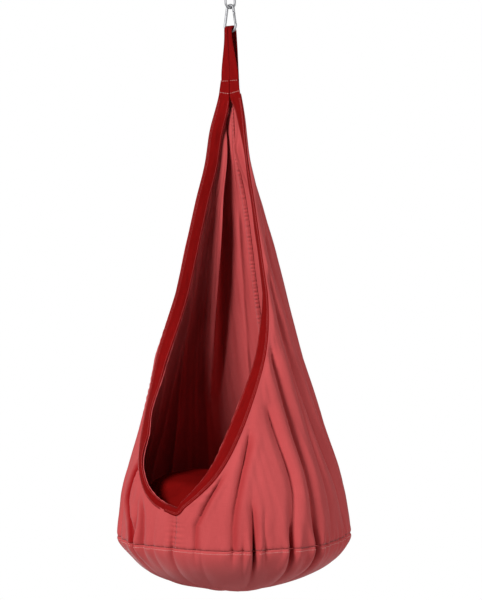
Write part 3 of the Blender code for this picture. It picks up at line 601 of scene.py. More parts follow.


# Keeps the painted crease shade on the mesh, for the canvas to darken its colour by
def mark_painted_shade(mesh, painted_shade):
    marks = mesh.attributes.new(CREASE, "FLOAT", "POINT")
    marks.data.foreach_set("value", np.ravel(painted_shade).astype(np.float32))


EASE_DEPTH = 0.0016
EASE_PITCH = 0.021
EASE_STRIP = 0.007  # smooth cloth beside the band
EASE_REACH = 0.022
EDGE_PER_HEIGHT = 1.2  # length of the opening's edge to its height


def pleats(angle, share, side):
    """Small uneven pleats where the cloth is eased into the band, round the lower half of the opening."""
    off = np.maximum(past_edge(angle, share, side), 0) * pod_radius(share)
    run = share * POD_HEIGHT * EDGE_PER_HEIGHT
    wave = np.sin(2 * math.pi * run / EASE_PITCH + 2.2 * np.sin(run * 23 + side))
    uneven = 0.6 + 0.5 * np.sin(run * 31 + 2 * side)
    near_band = np.exp(-(off / EASE_REACH) ** 1.2) * smooth(off / EASE_STRIP)
    lower_half = smooth((share - OPENING_BEND) / 0.2) * smooth((OPENING_BOTTOM - share) / 0.05)
    return EASE_DEPTH * wave * uneven * near_band * lower_half


# Gathers of the base seam. The deep ones are given as degrees round from the front, and depth
DEEP_GATHERS = ((72, 0.016), (57, 0.017), (38, 0.018), (33, 0.006), (13, 0.004), (100, 0.006), (-27, 0.016),
                (-45, 0.006), (-2, 0.008), (-13, 0.004), (128, 0.006), (156, 0.006), (-88, 0.007),
                (-116, 0.006), (-142, 0.006), (-161, 0.005))
DEEP_WIDTH, DEEP_REACH = 0.006, 0.06
# A row of ripples on the right
RIPPLES = np.arange(78, 118, 4.3)
RIPPLE_DEPTH, RIPPLE_WIDTH, RIPPLE_REACH = 0.0030, 0.0035, 0.03
# Small ones all round, each of a chance size between two limits
SMALL_GATHERS = 48
SMALL_SHIFT = 0.35  # from its even place, in spaces
SMALL_DEPTH, SMALL_WIDTH, SMALL_REACH = (0.0006, 0.0026), (0.003, 0.006), (0.012, 0.035)
GATHER_SECTION = {"crease": 0.4, "sharpness": 2.6, "fullness": 0.4, "shoulder": 1.4}
GATHER_FADE = 1.3  # power of its fading away from the seam
GATHER_OPENS = 0.9  # how much wider it is at its reach
GATHER_SHADE_DEPTHS = (0.005, 0.015)  # depths for the painted shade along the gathers, as for the creases


def seam_gathers():
    """Each gather's angle round from the front, depth, half width and reach away from the seam."""
    made = [(math.radians(turn), depth, DEEP_WIDTH, DEEP_REACH) for turn, depth in DEEP_GATHERS]
    made += [(math.radians(turn), RIPPLE_DEPTH, RIPPLE_WIDTH, RIPPLE_REACH) for turn in RIPPLES]
    chance = np.random.default_rng(11)
    for k in range(SMALL_GATHERS):
        turn = 2 * math.pi * (k + chance.uniform(-SMALL_SHIFT, SMALL_SHIFT)) / SMALL_GATHERS - math.pi
        sizes = [chance.uniform(*limits) for limits in (SMALL_DEPTH, SMALL_WIDTH, SMALL_REACH)]
        made.append((turn, *sizes))
    return made


GATHERS = seam_gathers()


def from_gather(turn, centre):
    """The distance along the base seam from a gather's middle."""
    return np.abs((turn - centre + math.pi) % (2 * math.pi) - math.pi) * SEAM_RADIUS


def gathered(turn, from_seam):
    """How far the seam's gathers draw the cloth in, at a signed angle and a distance from the seam."""
    drawn = np.zeros(np.broadcast(turn, from_seam).shape)
    for centre, depth, width, reach in GATHERS:
        off = from_gather(turn, centre) / (width * (1 + GATHER_OPENS * from_seam / reach))
        drawn += depth * np.exp(-(from_seam / reach) ** GATHER_FADE) * fold_section(off, **GATHER_SECTION)
    return drawn


def gather_shading(turn, from_seam):
    """How much painted shade the cloth gets along the deeper gathers, 0 to 1."""
    painted_shade = np.zeros(np.broadcast(turn, from_seam).shape)
    for centre, depth, width, reach in GATHERS:
        near = bell(from_gather(turn, centre) / width) * bell(from_seam / reach)
        painted_shade = np.maximum(painted_shade, between(depth, GATHER_SHADE_DEPTHS) * near)
    return painted_shade


SEAM_WAVES = ((0.0016, 3, 0.7), (0.0012, 7, 2.0))  # height, waves round the seam and phase of each
SEAM_RISE = 0.006  # to both sides of the direction in which the seam is lowest
SEAM_LOWEST = 0.49
ROLL_DEPTH = 0.0035  # of the cloth's edges, which turn in where two pieces are sewn together
ROLL_REACH = 0.004
GROOVE = 0.003  # half width of a sewn line
PUCKER_REACH = 0.012
FRONT_SEAM = {"pitch": 0.011, "depth": 0.0010, "puckers": 0.0045}
BACK_SEAM = {"pitch": 0.012, "depth": 0.0025, "puckers": 0.0018}


def seam_level(turn):
    """The base seam isn't quite level."""
    waves = sum(height * np.sin(count * turn + phase) for height, count, phase in SEAM_WAVES)
    return waves + SEAM_RISE * np.sin(turn - SEAM_LOWEST) ** 2


def seam_roll(from_seam):
    return ROLL_DEPTH * np.exp(-(from_seam / ROLL_REACH) ** 1.2)


def sewn_line(off, run, pitch, depth, puckers):
    """A seam's groove and the small puckers beside it, at a distance off it and a run along it."""
    wave = 0.5 + 0.5 * np.sin(2 * math.pi * run / pitch + 1.7 * np.sin(run / pitch))
    return depth * bell(off / GROOVE) + puckers * wave * np.exp(-np.abs(off) / PUCKER_REACH)


UNEVEN_CALM = math.radians(9)  # from the opening's edge, where the cloth is drawn tight
# Unevenness of the cloth: height, scale round and down the pod, share of the height in which it sets in
UNEVEN = ((0.0030, 3.6, 3.0, 0.3), (0.0010, 12.0, 11.0, 0.2))
WRINKLE_DEPTH = 0.0034
WRINKLE_SLANT = 48  # degrees round the pod, from its top to its base seam
WRINKLE_CALM = math.radians(6)


def wrinkles(angle, share, side):
    """Long shallow wrinkles that run with the folds, away from the seams and the opening."""
    across = np.degrees(angle) - WRINKLE_SLANT * (share - 0.5)
    waves = rough(across / 7.0, share * 2.6, 7.0 + side) + 0.5 * rough(across / 3.2, share * 5.0, 2.0 + side)
    calm = smooth(past_edge(angle, share, side) / WRINKLE_CALM) * smooth((math.pi - angle) / SEAM_CALM)
    return WRINKLE_DEPTH * waves * calm * smooth(share / 0.35) * (1 - 0.6 * smooth((share - 0.9) / 0.1))


def wall_radius(angle, share, side):
    """The cloth's distance from the pod's axis, with its folds, gathers, seams and wrinkles."""
    from_seam = POD_HEIGHT * (1 - share)
    drawn = folds(angle, share, side) + pleats(angle, share, side) + neck_dip(angle, share)
    drawn = drawn + (left_pleat(angle, share) if side < 0 else right_hollow(angle, share))
    drawn = drawn + gathered(side * angle, from_seam) + seam_roll(from_seam)
    radius = smooth_radius(angle, share, side) - drawn
    radius -= sewn_line(angle * radius, from_seam, **FRONT_SEAM) * smooth((share - OPENING_BOTTOM) / 0.02)
    radius -= sewn_line((math.pi - angle) * radius, from_seam, **BACK_SEAM) * smooth(share / 0.15)
    calm = smooth(past_edge(angle, share, side) / UNEVEN_CALM + 0.05)
    x, y = np.cos(side * angle), np.sin(side * angle)
    for height, around, down, sets_in in UNEVEN:
        radius += calm * height * rough(x * around, y * around, share * down) * smooth(share / sets_in)
    return radius + wrinkles(angle, share, side)


def round_point(angle, radius, height, side=1):
    return joined(side * radius * np.sin(angle), -radius * np.cos(angle), height)


def edge_shares(count, side):
    """Shares of the height down the opening's edge, spaced by length and closer where it bends."""
    share = np.linspace(0, OPENING_BOTTOM, 1600)
    angle = opening_angle(share, side)
    points = round_point(angle, smooth_radius(angle, share, side), level(share))
    steps = np.diff(points, axis=0)
    turn = np.arccos(np.clip((unit(steps[1:]) * unit(steps[:-1])).sum(1), -1, 1))
    run = np.concatenate([[0], np.cumsum(np.linalg.norm(steps, axis=1) + BEND_WEIGHT * np.append(0, turn))])
    return np.interp(np.linspace(0, run[-1], count), run, share)


def square_to(vectors, direction):
    """Unit vectors, turned until they are square to a direction."""
    return unit(vectors - direction * (vectors * direction).sum(1, keepdims=True))


def edge_frames(share, side):
    """Down one edge of the opening, as if on the right: points, and unit vectors into the opening, across the
    band and out of the band's front."""
    angle = opening_angle(share, side)
    point = round_point(angle, smooth_radius(angle, share, side), level(share))
    beyond = point[-2] * (-1, 1, 1)
    down = unit(np.gradient(np.vstack([point, beyond]), axis=0)[:-1])
    outward = square_to(joined(np.sin(angle), -np.cos(angle), 0), down)
    inward = unit(np.cross(down, outward))
    turn = DEGREE * along(LIP_TURN[side], share)[:, None]
    across = square_to(inward * np.cos(turn) - outward * np.sin(turn), down)
    return point, inward, across, unit(np.cross(across, down))


def mirrored(points, side):
    return points * (side, 1, 1)


# Cloth

FOLLOWS_SEAM = 0.8  # share of the height below which the walls follow the base seam's level
STITCH_LIFT = SHEET * 0.7  # of stitches above the middle of the cloth
STRIP_ROWS, STRIP_COLUMNS = 900, 11
STRIP_ENDS = (0.03, 0.995)  # shares of the height
STRIP_SEWN = (2, 8)  # the columns that are stitched
STRIP_DOME = 0.0010
STRIP_PUCKER = 0.0011
BASE_RINGS, BASE_SEGMENTS = 70, 560
BASE_END = 0.985  # share of the way from the seam to the middle of the bottom
BASE_SEWN = 2  # the ring that is stitched
BASE_SLACK, BASE_RUMPLE = 0.004, 0.0012  # long and short waves of the base's cloth
SAG_SIDE = math.radians(-62)  # the side on which the base is not filled out
# How far it hangs in there, and the middle and half height of that, as dips below the seam
SAG = ((0.010, 0.33, 0.25), (0.018, 1.17, 0.28))
SEWN_REACH = 0.03  # from the seam, within which the base follows the walls' edge
FLOOR_RINGS, FLOOR_SEGMENTS = 24, 120
FLOOR_INSET = 0.004
FLOOR_SAG = 0.001


def canvas_piece(name, mesh, stands_for=()):
    """One layer of canvas, with its thickness."""
    piece = add(name, mesh, CORAL, "pod", stands_for)
    layer = piece.modifiers.new("thickness", "SOLIDIFY")
    layer.thickness = SHEET
    layer.offset = 0.0
    return piece


def wall(word, side):
    """Half of the pod's wall, from the opening's edge and the front seam round to the back seam."""
    share = edge_shares(EDGE_ROWS, side)
    point, inward, across, _ = edge_frames(share, side)
    setback = BAND_THICKNESS / 2 + FIT + SHEET - TUCK * np.maximum((across * inward).sum(1), 0)
    edge = opening_angle(share, side)
    turned = joined(np.cos(edge), np.sin(edge), 0)
    shift = setback * (inward * turned).sum(1) / np.hypot(point[:, 0], point[:, 1])
    front_angle = np.append(np.maximum(edge - shift, 0.0), np.zeros(SEAM_ROWS))
    front_share = np.maximum(share + setback * inward[:, 2] / POD_HEIGHT, 0.0)
    front_share = np.append(front_share, np.linspace(front_share[-1], 1.0, SEAM_ROWS + 1)[1:])
    back_share = np.linspace(0, 1, len(front_share))
    part = np.linspace(0, 1, COLUMNS + 1)[None, :]
    angle = mix(front_angle[:, None], math.pi, part)
    places = mix(front_share[:, None], back_share[:, None], smooth(part))
    follows = smooth(between(places, (FOLLOWS_SEAM, 1.0)))
    height = level(places) + follows * seam_level(side * angle) + SEAM_GAP / 2
    points = round_point(angle, wall_radius(angle, places, side), height, side)
    flat = joined(side * (math.pi - angle) * SEAM_RADIUS, places * POD_HEIGHT)
    mesh = mesh_of(f"wall_{word}", points, grid_faces(*angle.shape), flat)
    # Painted shade along the creases and gathers
    shade_by_gathers = gather_shading(side * angle, POD_HEIGHT * (1 - places))
    mark_painted_shade(mesh, np.maximum(crease_shading(angle, places, side), shade_by_gathers))
    return canvas_piece(f"wall_{word}", mesh, [f"body_panel_{word}"])


def back_seam():
    """The felled seam down the back, as it shows inside: a narrow strip, puckered along its stitches."""
    share = np.linspace(*STRIP_ENDS, STRIP_ROWS)[:, None]
    place = np.linspace(-1, 1, STRIP_COLUMNS)[None, :]
    off = place * SEAM_STRIP / 2 / pod_radius(share)
    run = share * POD_HEIGHT
    wave = np.sin(2 * math.pi * run / 0.0095 + 1.3 * np.sin(run * 41))
    pucker = wave * (0.6 + 0.4 * rough(run * 30, place * 0.8, 2.5)) * (1 - 0.6 * np.abs(place))
    radius = wall_radius(math.pi - np.abs(off), share + 0 * place, 1)
    radius -= SHEET * 1.3 + STRIP_DOME * (1 - place ** 4) + STRIP_PUCKER * pucker
    points = round_point(math.pi - off, radius, level(share))
    flat = joined(place * SEAM_STRIP / 2, run)
    mesh = mesh_of("back_seam", points, grid_faces(*points.shape[:2]), flat)
    piece = canvas_piece("back_seam", mesh)
    inward = unit(points * (-1, -1, 0))
    lines = [(points[:, k] + inward[:, k] * STITCH_LIFT, inward[:, k]) for k in STRIP_SEWN]
    stitching("back_seam_stitches", lines, CORAL_THREAD, "cloth")
    return piece


def base():
    """The rounded bottom, gathered into the base seam."""
    dip = (math.pi / 2 * np.linspace(0, BASE_END, BASE_RINGS))[:, None]
    turn = np.linspace(-math.pi, math.pi, BASE_SEGMENTS, endpoint=False)[None, :]
    from_seam = BASE_DEPTH * dip + 0 * turn
    draw = gathered(turn, from_seam * 0.85) + seam_roll(from_seam)
    slack = BASE_SLACK * rough(np.cos(turn) * 2.2, np.sin(turn) * 2.2 + dip * 1.5, 3.0)
    slack = (slack + BASE_RUMPLE * rough(turn * 7, dip * 4, 5.0)) * np.sin(dip * 1.6)
    sag = sum(depth * bell((dip - middle) / half) for depth, middle, half in SAG)
    radius = SEAM_RADIUS * np.cos(dip) ** BASE_TUCK + (slack - draw) * np.cos(dip)
    radius -= sag * np.maximum(np.cos(turn - SAG_SIDE), 0) ** 2
    walls_edge = [wall_radius(np.abs(turn), 1.0, side) for side in (-1, 1)]
    radius += (np.where(turn < 0, *walls_edge) - radius[:1]) * bell(from_seam / SEWN_REACH)
    height = SEAM - SEAM_GAP / 2 + seam_level(turn) * np.cos(dip) ** 3
    height = height - BASE_DEPTH * np.sin(dip) - (slack - 0.5 * draw) * np.sin(dip)
    points = round_point(turn, radius, height)
    sewn = points[BASE_SEWN, np.append(np.arange(BASE_SEGMENTS), 0)]
    outward = unit(sewn * (1, 1, 0))
    stitching("base_seam_stitches", [(sewn + outward * STITCH_LIFT, outward)], PINK_THREAD, "cloth")
    faces = grid_faces(BASE_RINGS, BASE_SEGMENTS, closed=True) + [last_ring(BASE_RINGS, BASE_SEGMENTS)]
    mesh = mesh_of("base", points, faces, joined(turn * SEAM_RADIUS, from_seam))
    # Painted shade along the gathers
    mark_painted_shade(mesh, gather_shading(turn, from_seam))
    return canvas_piece("base", mesh, ["base_panel", "base_filling"])


def floor_sheet():
    """The cloth that closes the base pocket, under the cushion."""
    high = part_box("pocket_floor")[1]
    share = np.linspace(0.02, 1, FLOOR_RINGS)[:, None]
    turn = np.linspace(-math.pi, math.pi, FLOOR_SEGMENTS, endpoint=False)[None, :]
    radius = share * (high.x - FLOOR_INSET) + 0 * turn
    uneven = 0.5 + 0.5 * rough(np.cos(turn) * radius * 14, np.sin(turn) * radius * 14, 4.0)
    points = round_point(turn, radius, high.z - SHEET / 2 - FLOOR_SAG * uneven)
    flat = joined(radius * np.sin(turn), radius * np.cos(turn))
    faces = grid_faces(FLOOR_RINGS, FLOOR_SEGMENTS, closed=True) + [first_ring(FLOOR_SEGMENTS)]
    mesh = mesh_of("pocket_sheet", points, faces, flat)
    return canvas_piece("pocket_sheet", mesh, ["pocket_floor"])


# Webbing

BAND_COLUMNS, HEM_COLUMNS, LOOP_COLUMNS = 15, 7, 13
LAP_ROWS = 16  # rows of a band along its lap
HEM_TOP = 6  # rows of the opening's edge above the facing's upper end
RISES_OVER = 0.05  # from the foot, where the right band rises over the left one
RIDGE_SETS_IN = (0.72, 0.84)  # shares of the height
LOOP_LAP_ROWS, LOOP_LEG_ROWS, LOOP_BOW_ROWS, LOOP_BACK_ROWS = 8, 30, 25, 10


def spaced(columns):
    """Shares of a strap's width, closer together at its edges."""
    return np.sin(np.linspace(-1, 1, columns) * math.pi / 2) * 0.5 + 0.5


def strap_mesh(name, rows, thickness):
    """A woven strap through rows of points across it, with rounded edges."""
    columns = rows.shape[1]
    facing = unit(np.cross(unit(np.gradient(rows, axis=1)), unit(np.gradient(rows, axis=0))))
    place = spaced(columns)
    edge = np.sqrt(np.clip(1 - np.abs(2 * place - 1) ** 14, 0.02, 1))
    half = facing * (np.reshape(thickness, (-1, 1, 1)) / 2) * edge[None, :, None]
    rings = np.concatenate([rows + half, (rows - half)[:, ::-1]], axis=1)
    across = place * np.linalg.norm(rows[:, -1] - rows[:, 0], axis=1).max()
    length = run_along(rows[:, columns // 2])[:, None]
    return ring_mesh(name, rings, joined(np.concatenate([across, across[::-1]]), length))


def edge_sections(side):
    """Down one edge, as if on the right: points, vectors across the band and out of its front, and widths."""
    share = edge_shares(BAND_ROWS, side)
    point, inward, across, front = edge_frames(share, side)
    point = point + front * SHEET * smooth((across * inward).sum(1))[:, None]
    narrow = np.minimum(BAND_WIDTH, mix(point[:, 0] - FIT, BAND_WIDTH, smooth(share / LAP_ANGLE_END)))
    width = np.where(share < OPENING_BEND, narrow, BAND_WIDTH * along(BAND_SHOWS[side], share))
    return point, across, front, width


def band_sections(side):
    """Sections of a band, from the top of its lap to the foot: edge points, vectors across and out, widths.
    The right band goes on past the foot, over the left one."""
    point, across, front, width = edge_sections(side)
    part = np.linspace(0, 1, LAP_ROWS, endpoint=False)[:, None]
    lap_edge = np.array([LOOP_WIDTH + FIT, point[0, 1], LAP_TOP])
    point = np.vstack([mix(lap_edge, point[0], part), point])
    across = np.vstack([unit(mix(np.array([-1.0, 0, 0]), across[0], part)), across])
    front = np.vstack([unit(mix(np.array([0, -1.0, 0]), front[0], part)), front])
    width = np.append(mix(LOOP_WIDTH, width[0], part[:, 0]), width)
    if side > 0:
        from_foot = run_along(point[::-1])
        past = slice(1, int(np.searchsorted(from_foot, OVERLAP)))
        turned = [mirrored(values[::-1][past], -1) for values in edge_sections(-1)[:3]]
        raised = np.append(smooth(1 - from_foot / RISES_OVER)[::-1], np.ones(len(turned[0])))[:, None]
        point, across, front = (np.vstack([a, b]) for a, b in zip((point, across, front), turned))
        width = np.append(width, np.full(len(turned[0]), width[-1]))
        point = point + front * raised * (BAND_THICKNESS + FIT)
    return mirrored(point, side), mirrored(across, side), mirrored(front, side), width


def band(word, side):
    """The webbing that binds one side of the opening: its rows of points, and vectors out of its front."""
    point, across, front, width = band_sections(side)
    place = spaced(BAND_COLUMNS)
    run = run_along(point)
    sway = 0.0009 * np.sin(run * 21 + side) + 0.0006 * np.sin(run * 47 + 2 * side)
    bow = 1 - np.abs(2 * place - 1) ** 1.4
    near_foot = smooth(between((COLLAR - point[:, 2]) / POD_HEIGHT, RIDGE_SETS_IN))
    cup = mix(BAND_CUP, BAND_RIDGE[side], near_foot)
    rows = point[:, None] + across[:, None] * (width[:, None] * place)[..., None]
    lift = cup[:, None] * bow[None, :] + sway[:, None] * place[None, :] * smooth(run / 0.1)[:, None]
    rows = rows + front[:, None] * lift[..., None]
    mesh = strap_mesh(f"band_{word}", rows, WEBBING_THICKNESS)
    add(f"band_{word}", mesh, RED_WEBBING, "pod", [f"edge_band_{word}"])
    return rows, front


def hem(word, side):
    """The canvas facing behind a band, which shows as a thin line along its free edge."""
    point, across, front, width = edge_sections(side)
    behind = point - front * (BAND_THICKNESS / 2 + SHEET)
    row = np.arange(BAND_ROWS)
    ripple = 0.0004 * np.sin(row * 0.9 + side) + 0.0003 * np.sin(row * 0.37)
    reach = (width + HEM_SHOWS + ripple - HEM_START)[:, None] * spaced(HEM_COLUMNS)[None, :] + HEM_START
    rows = behind[:, None] + across[:, None] * reach[..., None]
    mesh = strap_mesh(f"hem_{word}", mirrored(rows[HEM_TOP:], side), SHEET)
    return add(f"hem_{word}", mesh, CORAL, "pod")


def loop_rows():
    """The right loop strap as rows of points and thicknesses: up the front, over the bow, down the back."""
    place = spaced(LOOP_COLUMNS)
    lap_angle = opening_angle(0.0, 1)
    lap_plane = -smooth_radius(lap_angle, 0.0, 1) * math.cos(lap_angle)
    strap_plane = lap_plane + BAND_THICKNESS / 2 + FIT + LOOP_THICKNESS / 2
    stand_off = CLOTH_THICKNESS / 2 + FIT + LOOP_THICKNESS / 2
    leg = np.linspace(0, 1, LOOP_LEG_ROWS)[1:-1]

    def flat(y, z, width):
        return joined(mix(FIT / 2, width, place), y, z)

    def neck(share):
        angle = math.pi - FIT / 2 / TOP_RADIUS - LOOP_WIDTH / (pod_radius(share) + stand_off) * place
        radius = smooth_radius(angle, share, 1) - neck_dip(angle, share) + stand_off
        return round_point(angle, radius, level(share))

    rows = [flat(strap_plane, z, LOOP_WIDTH) for z in np.linspace(COLLAR, LAP_TOP, LOOP_LAP_ROWS)]
    thickness = [LOOP_THICKNESS] * LOOP_LAP_ROWS
    for part in leg:
        width = mix(LOOP_WIDTH, LOOP_FOLDED_WIDTH, smooth(part))
        rows.append(flat(mix(strap_plane, -LOOP_RADIUS, part), mix(LAP_TOP, BOW_LEVEL, part), width))
        thickness.append(mix(LOOP_THICKNESS, LOOP_FOLDED_THICKNESS, smooth(part)))
    for turn in np.linspace(0, math.pi, LOOP_BOW_ROWS):
        over = BOW_LEVEL + LOOP_RADIUS * math.sin(turn)
        rows.append(flat(-LOOP_RADIUS * math.cos(turn), over, LOOP_FOLDED_WIDTH))
        thickness.append(LOOP_FOLDED_THICKNESS)
    folded, spread = flat(LOOP_RADIUS, BOW_LEVEL, LOOP_FOLDED_WIDTH), neck(0.0)
    for part in leg:
        rows.append(mix(folded, spread, part))
        thickness.append(mix(LOOP_FOLDED_THICKNESS, LOOP_THICKNESS, smooth(part)))
    for share in np.linspace(0, BACK_LAP_LENGTH / POD_HEIGHT, LOOP_BACK_ROWS):
        rows.append(neck(share))
        thickness.append(LOOP_THICKNESS)
    return np.array(rows), np.array(thickness)


def loop_strap(word, side):
    rows, thickness = loop_rows()
    mesh = strap_mesh(f"loop_{word}", mirrored(rows, side), thickness)
    return add(f"loop_{word}", mesh, RED_WEBBING, "pod", [f"loop_strap_{word}"])


# Stitching

STITCH_RINGS, STITCH_SIDES = 5, 6


def stitch_points(line, facing, pitch, length, thread):
    """Rings of points of the threads along a line on a surface: (stitches, rings, sides, 3)."""
    run = run_along(line)
    starts = np.arange(pitch / 2, run[-1] - length, pitch)
    part = np.linspace(0, 1, STITCH_RINGS)
    at = starts[:, None] + length * part[None, :]
    centre = joined(*(np.interp(at, run, line[:, k]) for k in range(3)))
    up = unit(joined(*(np.interp(at, run, facing[:, k]) for k in range(3))))
    aside = unit(np.cross(unit(np.gradient(centre, axis=1)), up))
    bow = np.sin(math.pi * part)[None, :, None]
    centre = centre + up * thread * (0.35 * bow - 0.1)
    taper = 0.45 + 0.55 * np.sin(math.pi * np.clip(part, 0.08, 0.92)) ** 0.5
    size = (thread / 2 * taper)[None, :, None, None]
    turn = circle(STITCH_SIDES)[None, None, :, None]
    return centre[:, :, None] + size * (np.cos(turn) * aside[:, :, None] + np.sin(turn) * up[:, :, None])


def stitching(name, lines, finish, slot, pitch=STITCH_PITCH, length=STITCH_LENGTH, thread=THREAD):
    """Rows of stitches as one piece. lines are (points, facing) pairs."""
    rings = np.concatenate([stitch_points(line, facing, pitch, length, thread) for line, facing in lines])
    one = capped_faces(STITCH_RINGS, STITCH_SIDES)
    corners = STITCH_RINGS * STITCH_SIDES
    faces = [[corner + k * corners for corner in face] for k in range(len(rings)) for face in one]
    return add(name, mesh_of(name, rings, faces), finish, "pod")


def across_band(rows, front, share):
    """A line down a band at a share of its width, on its front."""
    place = np.arcsin(np.clip(2 * share - 1, -1, 1)) / math.pi + 0.5
    k = place * (rows.shape[1] - 1)
    low = int(k)
    line = mix(rows[:, low], rows[:, low + 1], k - low)
    return line + front * WEBBING_FRONT, front


def lap_lines(rows, front, heights):
    """Lines across a band's lap at given heights."""
    lines = []
    for height in heights:
        k = int(np.argmin(np.abs(rows[:, rows.shape[1] // 2, 2] - height)))
        line = rows[k] + front[k] * WEBBING_FRONT
        lines.append((line, np.repeat(front[k][None, :], len(line), axis=0)))
    return lines


# Cushion

CUSHION_RISE = 0.006  # of the swollen crown above the solid's
CUSHION_INSET = 0.012  # of the cover before it swells, and the most that a point of it moves
CUSHION_SEGMENTS = 96
CROWN_FLATNESS = 3.2  # powers that shape the crown
CROWN_SHOULDER = 0.36
UNDERSIDE = 0.72  # where the underside begins to be flat, as a share of the radius
SWELL_VOXEL = 0.007
SWELL_PRESSURE = 4.0
SWELL_FRAMES = 20
PINCH, PINCH_REACH = 0.006, 0.008  # of the cover along its seam
COVER_GATHER, COVER_GATHER_REACH = 0.003, 0.03  # of the small gathers beside it
DENTS = 0.002  # unevenness of the top
PIPING_RADIUS = 0.0028
PIPING_OUT = 0.002  # from the cover to the middle of the piping
UP = np.array([0.0, 0.0, 1.0])


def cushion_profile():
    """(radius, height) points of the cushion before it swells, from its crown to the middle of its underside,
    and the height and radius of its seam."""
    low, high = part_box("cushion_cover_top")
    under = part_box("cushion_cover_bottom")[0].z + CUSHION_INSET
    radius, seam, crown = high.x - CUSHION_INSET, low.z, high.z + CUSHION_RISE - CUSHION_INSET
    share = np.cos(np.linspace(math.pi / 2, 0, 24))
    rise = (1 - share ** CROWN_FLATNESS) ** CROWN_SHOULDER
    top = joined(radius * share, seam + (crown - seam) * rise)
    part = np.linspace(0, 1, 12)[1:]
    drop = np.sin(math.pi / 2 * part)
    bottom = joined(radius * mix(1.0, UNDERSIDE, part), seam - (seam - under) * drop)
    flat = joined(radius * np.linspace(0.6, 0.02, 10), under)
    return np.vstack([top[1:], bottom, flat]), seam, radius


def corners_of(piece):
    return np.array([corner.co for corner in piece.data.vertices])


def inflate(piece):
    """Swells a closed piece with a pressure cloth, and keeps each point within the inset of where it was."""
    remesh = piece.modifiers.new("remesh", "REMESH")
    remesh.mode = "VOXEL"
    remesh.voxel_size = SWELL_VOXEL
    bpy.context.view_layer.objects.active = piece
    bpy.ops.object.modifier_apply(modifier="remesh")
    rest = corners_of(piece)
    cloth = piece.modifiers.new("swell", "CLOTH")
    cloth.settings.use_pressure = True
    cloth.settings.uniform_pressure_force = SWELL_PRESSURE
    cloth.settings.effector_weights.gravity = 0.0
    cloth.settings.quality = 5
    cloth.point_cache.frame_end = SWELL_FRAMES
    for step in range(1, SWELL_FRAMES + 1):
        bpy.context.scene.frame_set(step)
    bpy.ops.object.modifier_apply(modifier="swell")
    bpy.context.scene.frame_set(1)
    moved = corners_of(piece) - rest
    far = np.linalg.norm(moved, axis=1, keepdims=True)
    return rest + moved * np.minimum(1, CUSHION_INSET / np.maximum(far, 1e-9))


def draw_in_seam(points, seam, radius):
    """Pinches the swollen cover along its seam, with small gathers, and dents its top a little."""
    spot = np.arctan2(points[:, 1], points[:, 0])
    away = np.hypot(points[:, 0], points[:, 1])
    off = np.abs(points[:, 2] - seam)
    pinch = PINCH * np.exp(-(off / PINCH_REACH) ** 1.5)
    pinch += COVER_GATHER * np.exp(-off / COVER_GATHER_REACH) * np.sin(spot * 34 + np.sin(spot * 5)) ** 2
    shrink = 1 - pinch * (away > radius * 0.8) / np.maximum(away, 0.01)
    points[:, :2] *= shrink[:, None]
    points[:, 2] = np.maximum(points[:, 2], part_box("cushion_cover_bottom")[0].z)
    points[:, 2] += DENTS * rough(points[:, 0] * 16, points[:, 1] * 16, 6.0) * (points[:, 2] > seam)
    return points


def cushion():
    """The seat cushion, swollen by its filling, with a corded seam round it."""
    profile, seam, radius = cushion_profile()
    mesh = lathe_mesh("cushion", profile, CUSHION_SEGMENTS)
    piece = add("cushion", mesh, RED_CLOTH, "pod",
                ["cushion_cover_top", "cushion_cover_bottom", "cushion_core"])
    swollen = draw_in_seam(inflate(piece), seam, radius)
    piece.data.vertices.foreach_set("co", swollen.astype(np.float32).ravel())
    piece.data.shade_smooth()
    finer = piece.modifiers.new("finer", "SUBSURF")
    finer.levels = finer.render_levels = 1
    turn = circle(CUSHION_SEGMENTS)
    ring = radius + PIPING_OUT
    path = joined(ring * np.cos(turn), ring * np.sin(turn), seam)
    mesh = tube_mesh("cushion_cord", path, PIPING_RADIUS, UP, 10, closed=True)
    add("cushion_cord", mesh, RED_CLOTH, "pod")


# Steel fittings

def tube_mesh(name, path, radius, square, sides=24, closed=False):
    """A round rod along a flat curve. square is the unit vector square to the curve's plane."""
    if closed:
        run = unit(np.roll(path, -1, axis=0) - np.roll(path, 1, axis=0))
    else:
        run = unit(np.gradient(path, axis=0))
    other = np.cross(run, square)
    turn = circle(sides)[None, :, None]
    radius = np.reshape(radius, (-1, 1, 1))
    rings = path[:, None] + radius * (np.cos(turn) * square + np.sin(turn) * other[:, None])
    if not closed:
        return ring_mesh(name, rings)
    faces = grid_faces(len(path) + 1, sides, closed=True)
    count = len(path) * sides
    faces = [[corner % count for corner in face] for face in faces]
    return mesh_of(name, rings, faces)


def arc(centre_x, centre_z, radius, start, end, steps):
    turn = np.linspace(start, end, steps)
    return joined(centre_x + radius * np.cos(turn), 0, centre_z + radius * np.sin(turn))


def stadium(half_width, top, bottom):
    upper = arc(0, top - half_width, half_width, 0, math.pi, 33)
    lower = arc(0, bottom + half_width, half_width, math.pi, 2 * math.pi, 33)
    return np.vstack([upper, lower])


def lathe_mesh(name, profile, sides=48):
    """A solid turned about the z axis, from (radius, height) points."""
    turn = circle(sides)
    radius, height = np.hsplit(np.array(profile), 2)
    return ring_mesh(name, joined(radius * np.cos(turn), radius * np.sin(turn), height))


def chamfered(radius, low, high, bevel):
    return [(radius - bevel, high), (radius, high - bevel), (radius, low + bevel), (radius - bevel, low)]


# Square to the plane of the rods, and the bevels of the turned parts
LEVEL_Y = np.array([0.0, 1.0, 0.0])
BOSS_BEVEL, FLANGE_BEVEL, SHANK_BEVEL, GATE_BEVEL = 0.0008, 0.0007, 0.0004, 0.0008
EYE_IN_FLANGE = EYE_ROD * 0.1  # how far the ring of the eye reaches into its flange
LEG_ABOVE_PIVOT = 0.006  # up to where the hook's rod bends over
BOX_FACES = [(0, 1, 3, 2), (4, 6, 7, 5), (0, 4, 5, 1), (2, 3, 7, 6), (0, 2, 6, 4), (1, 5, 7, 3)]


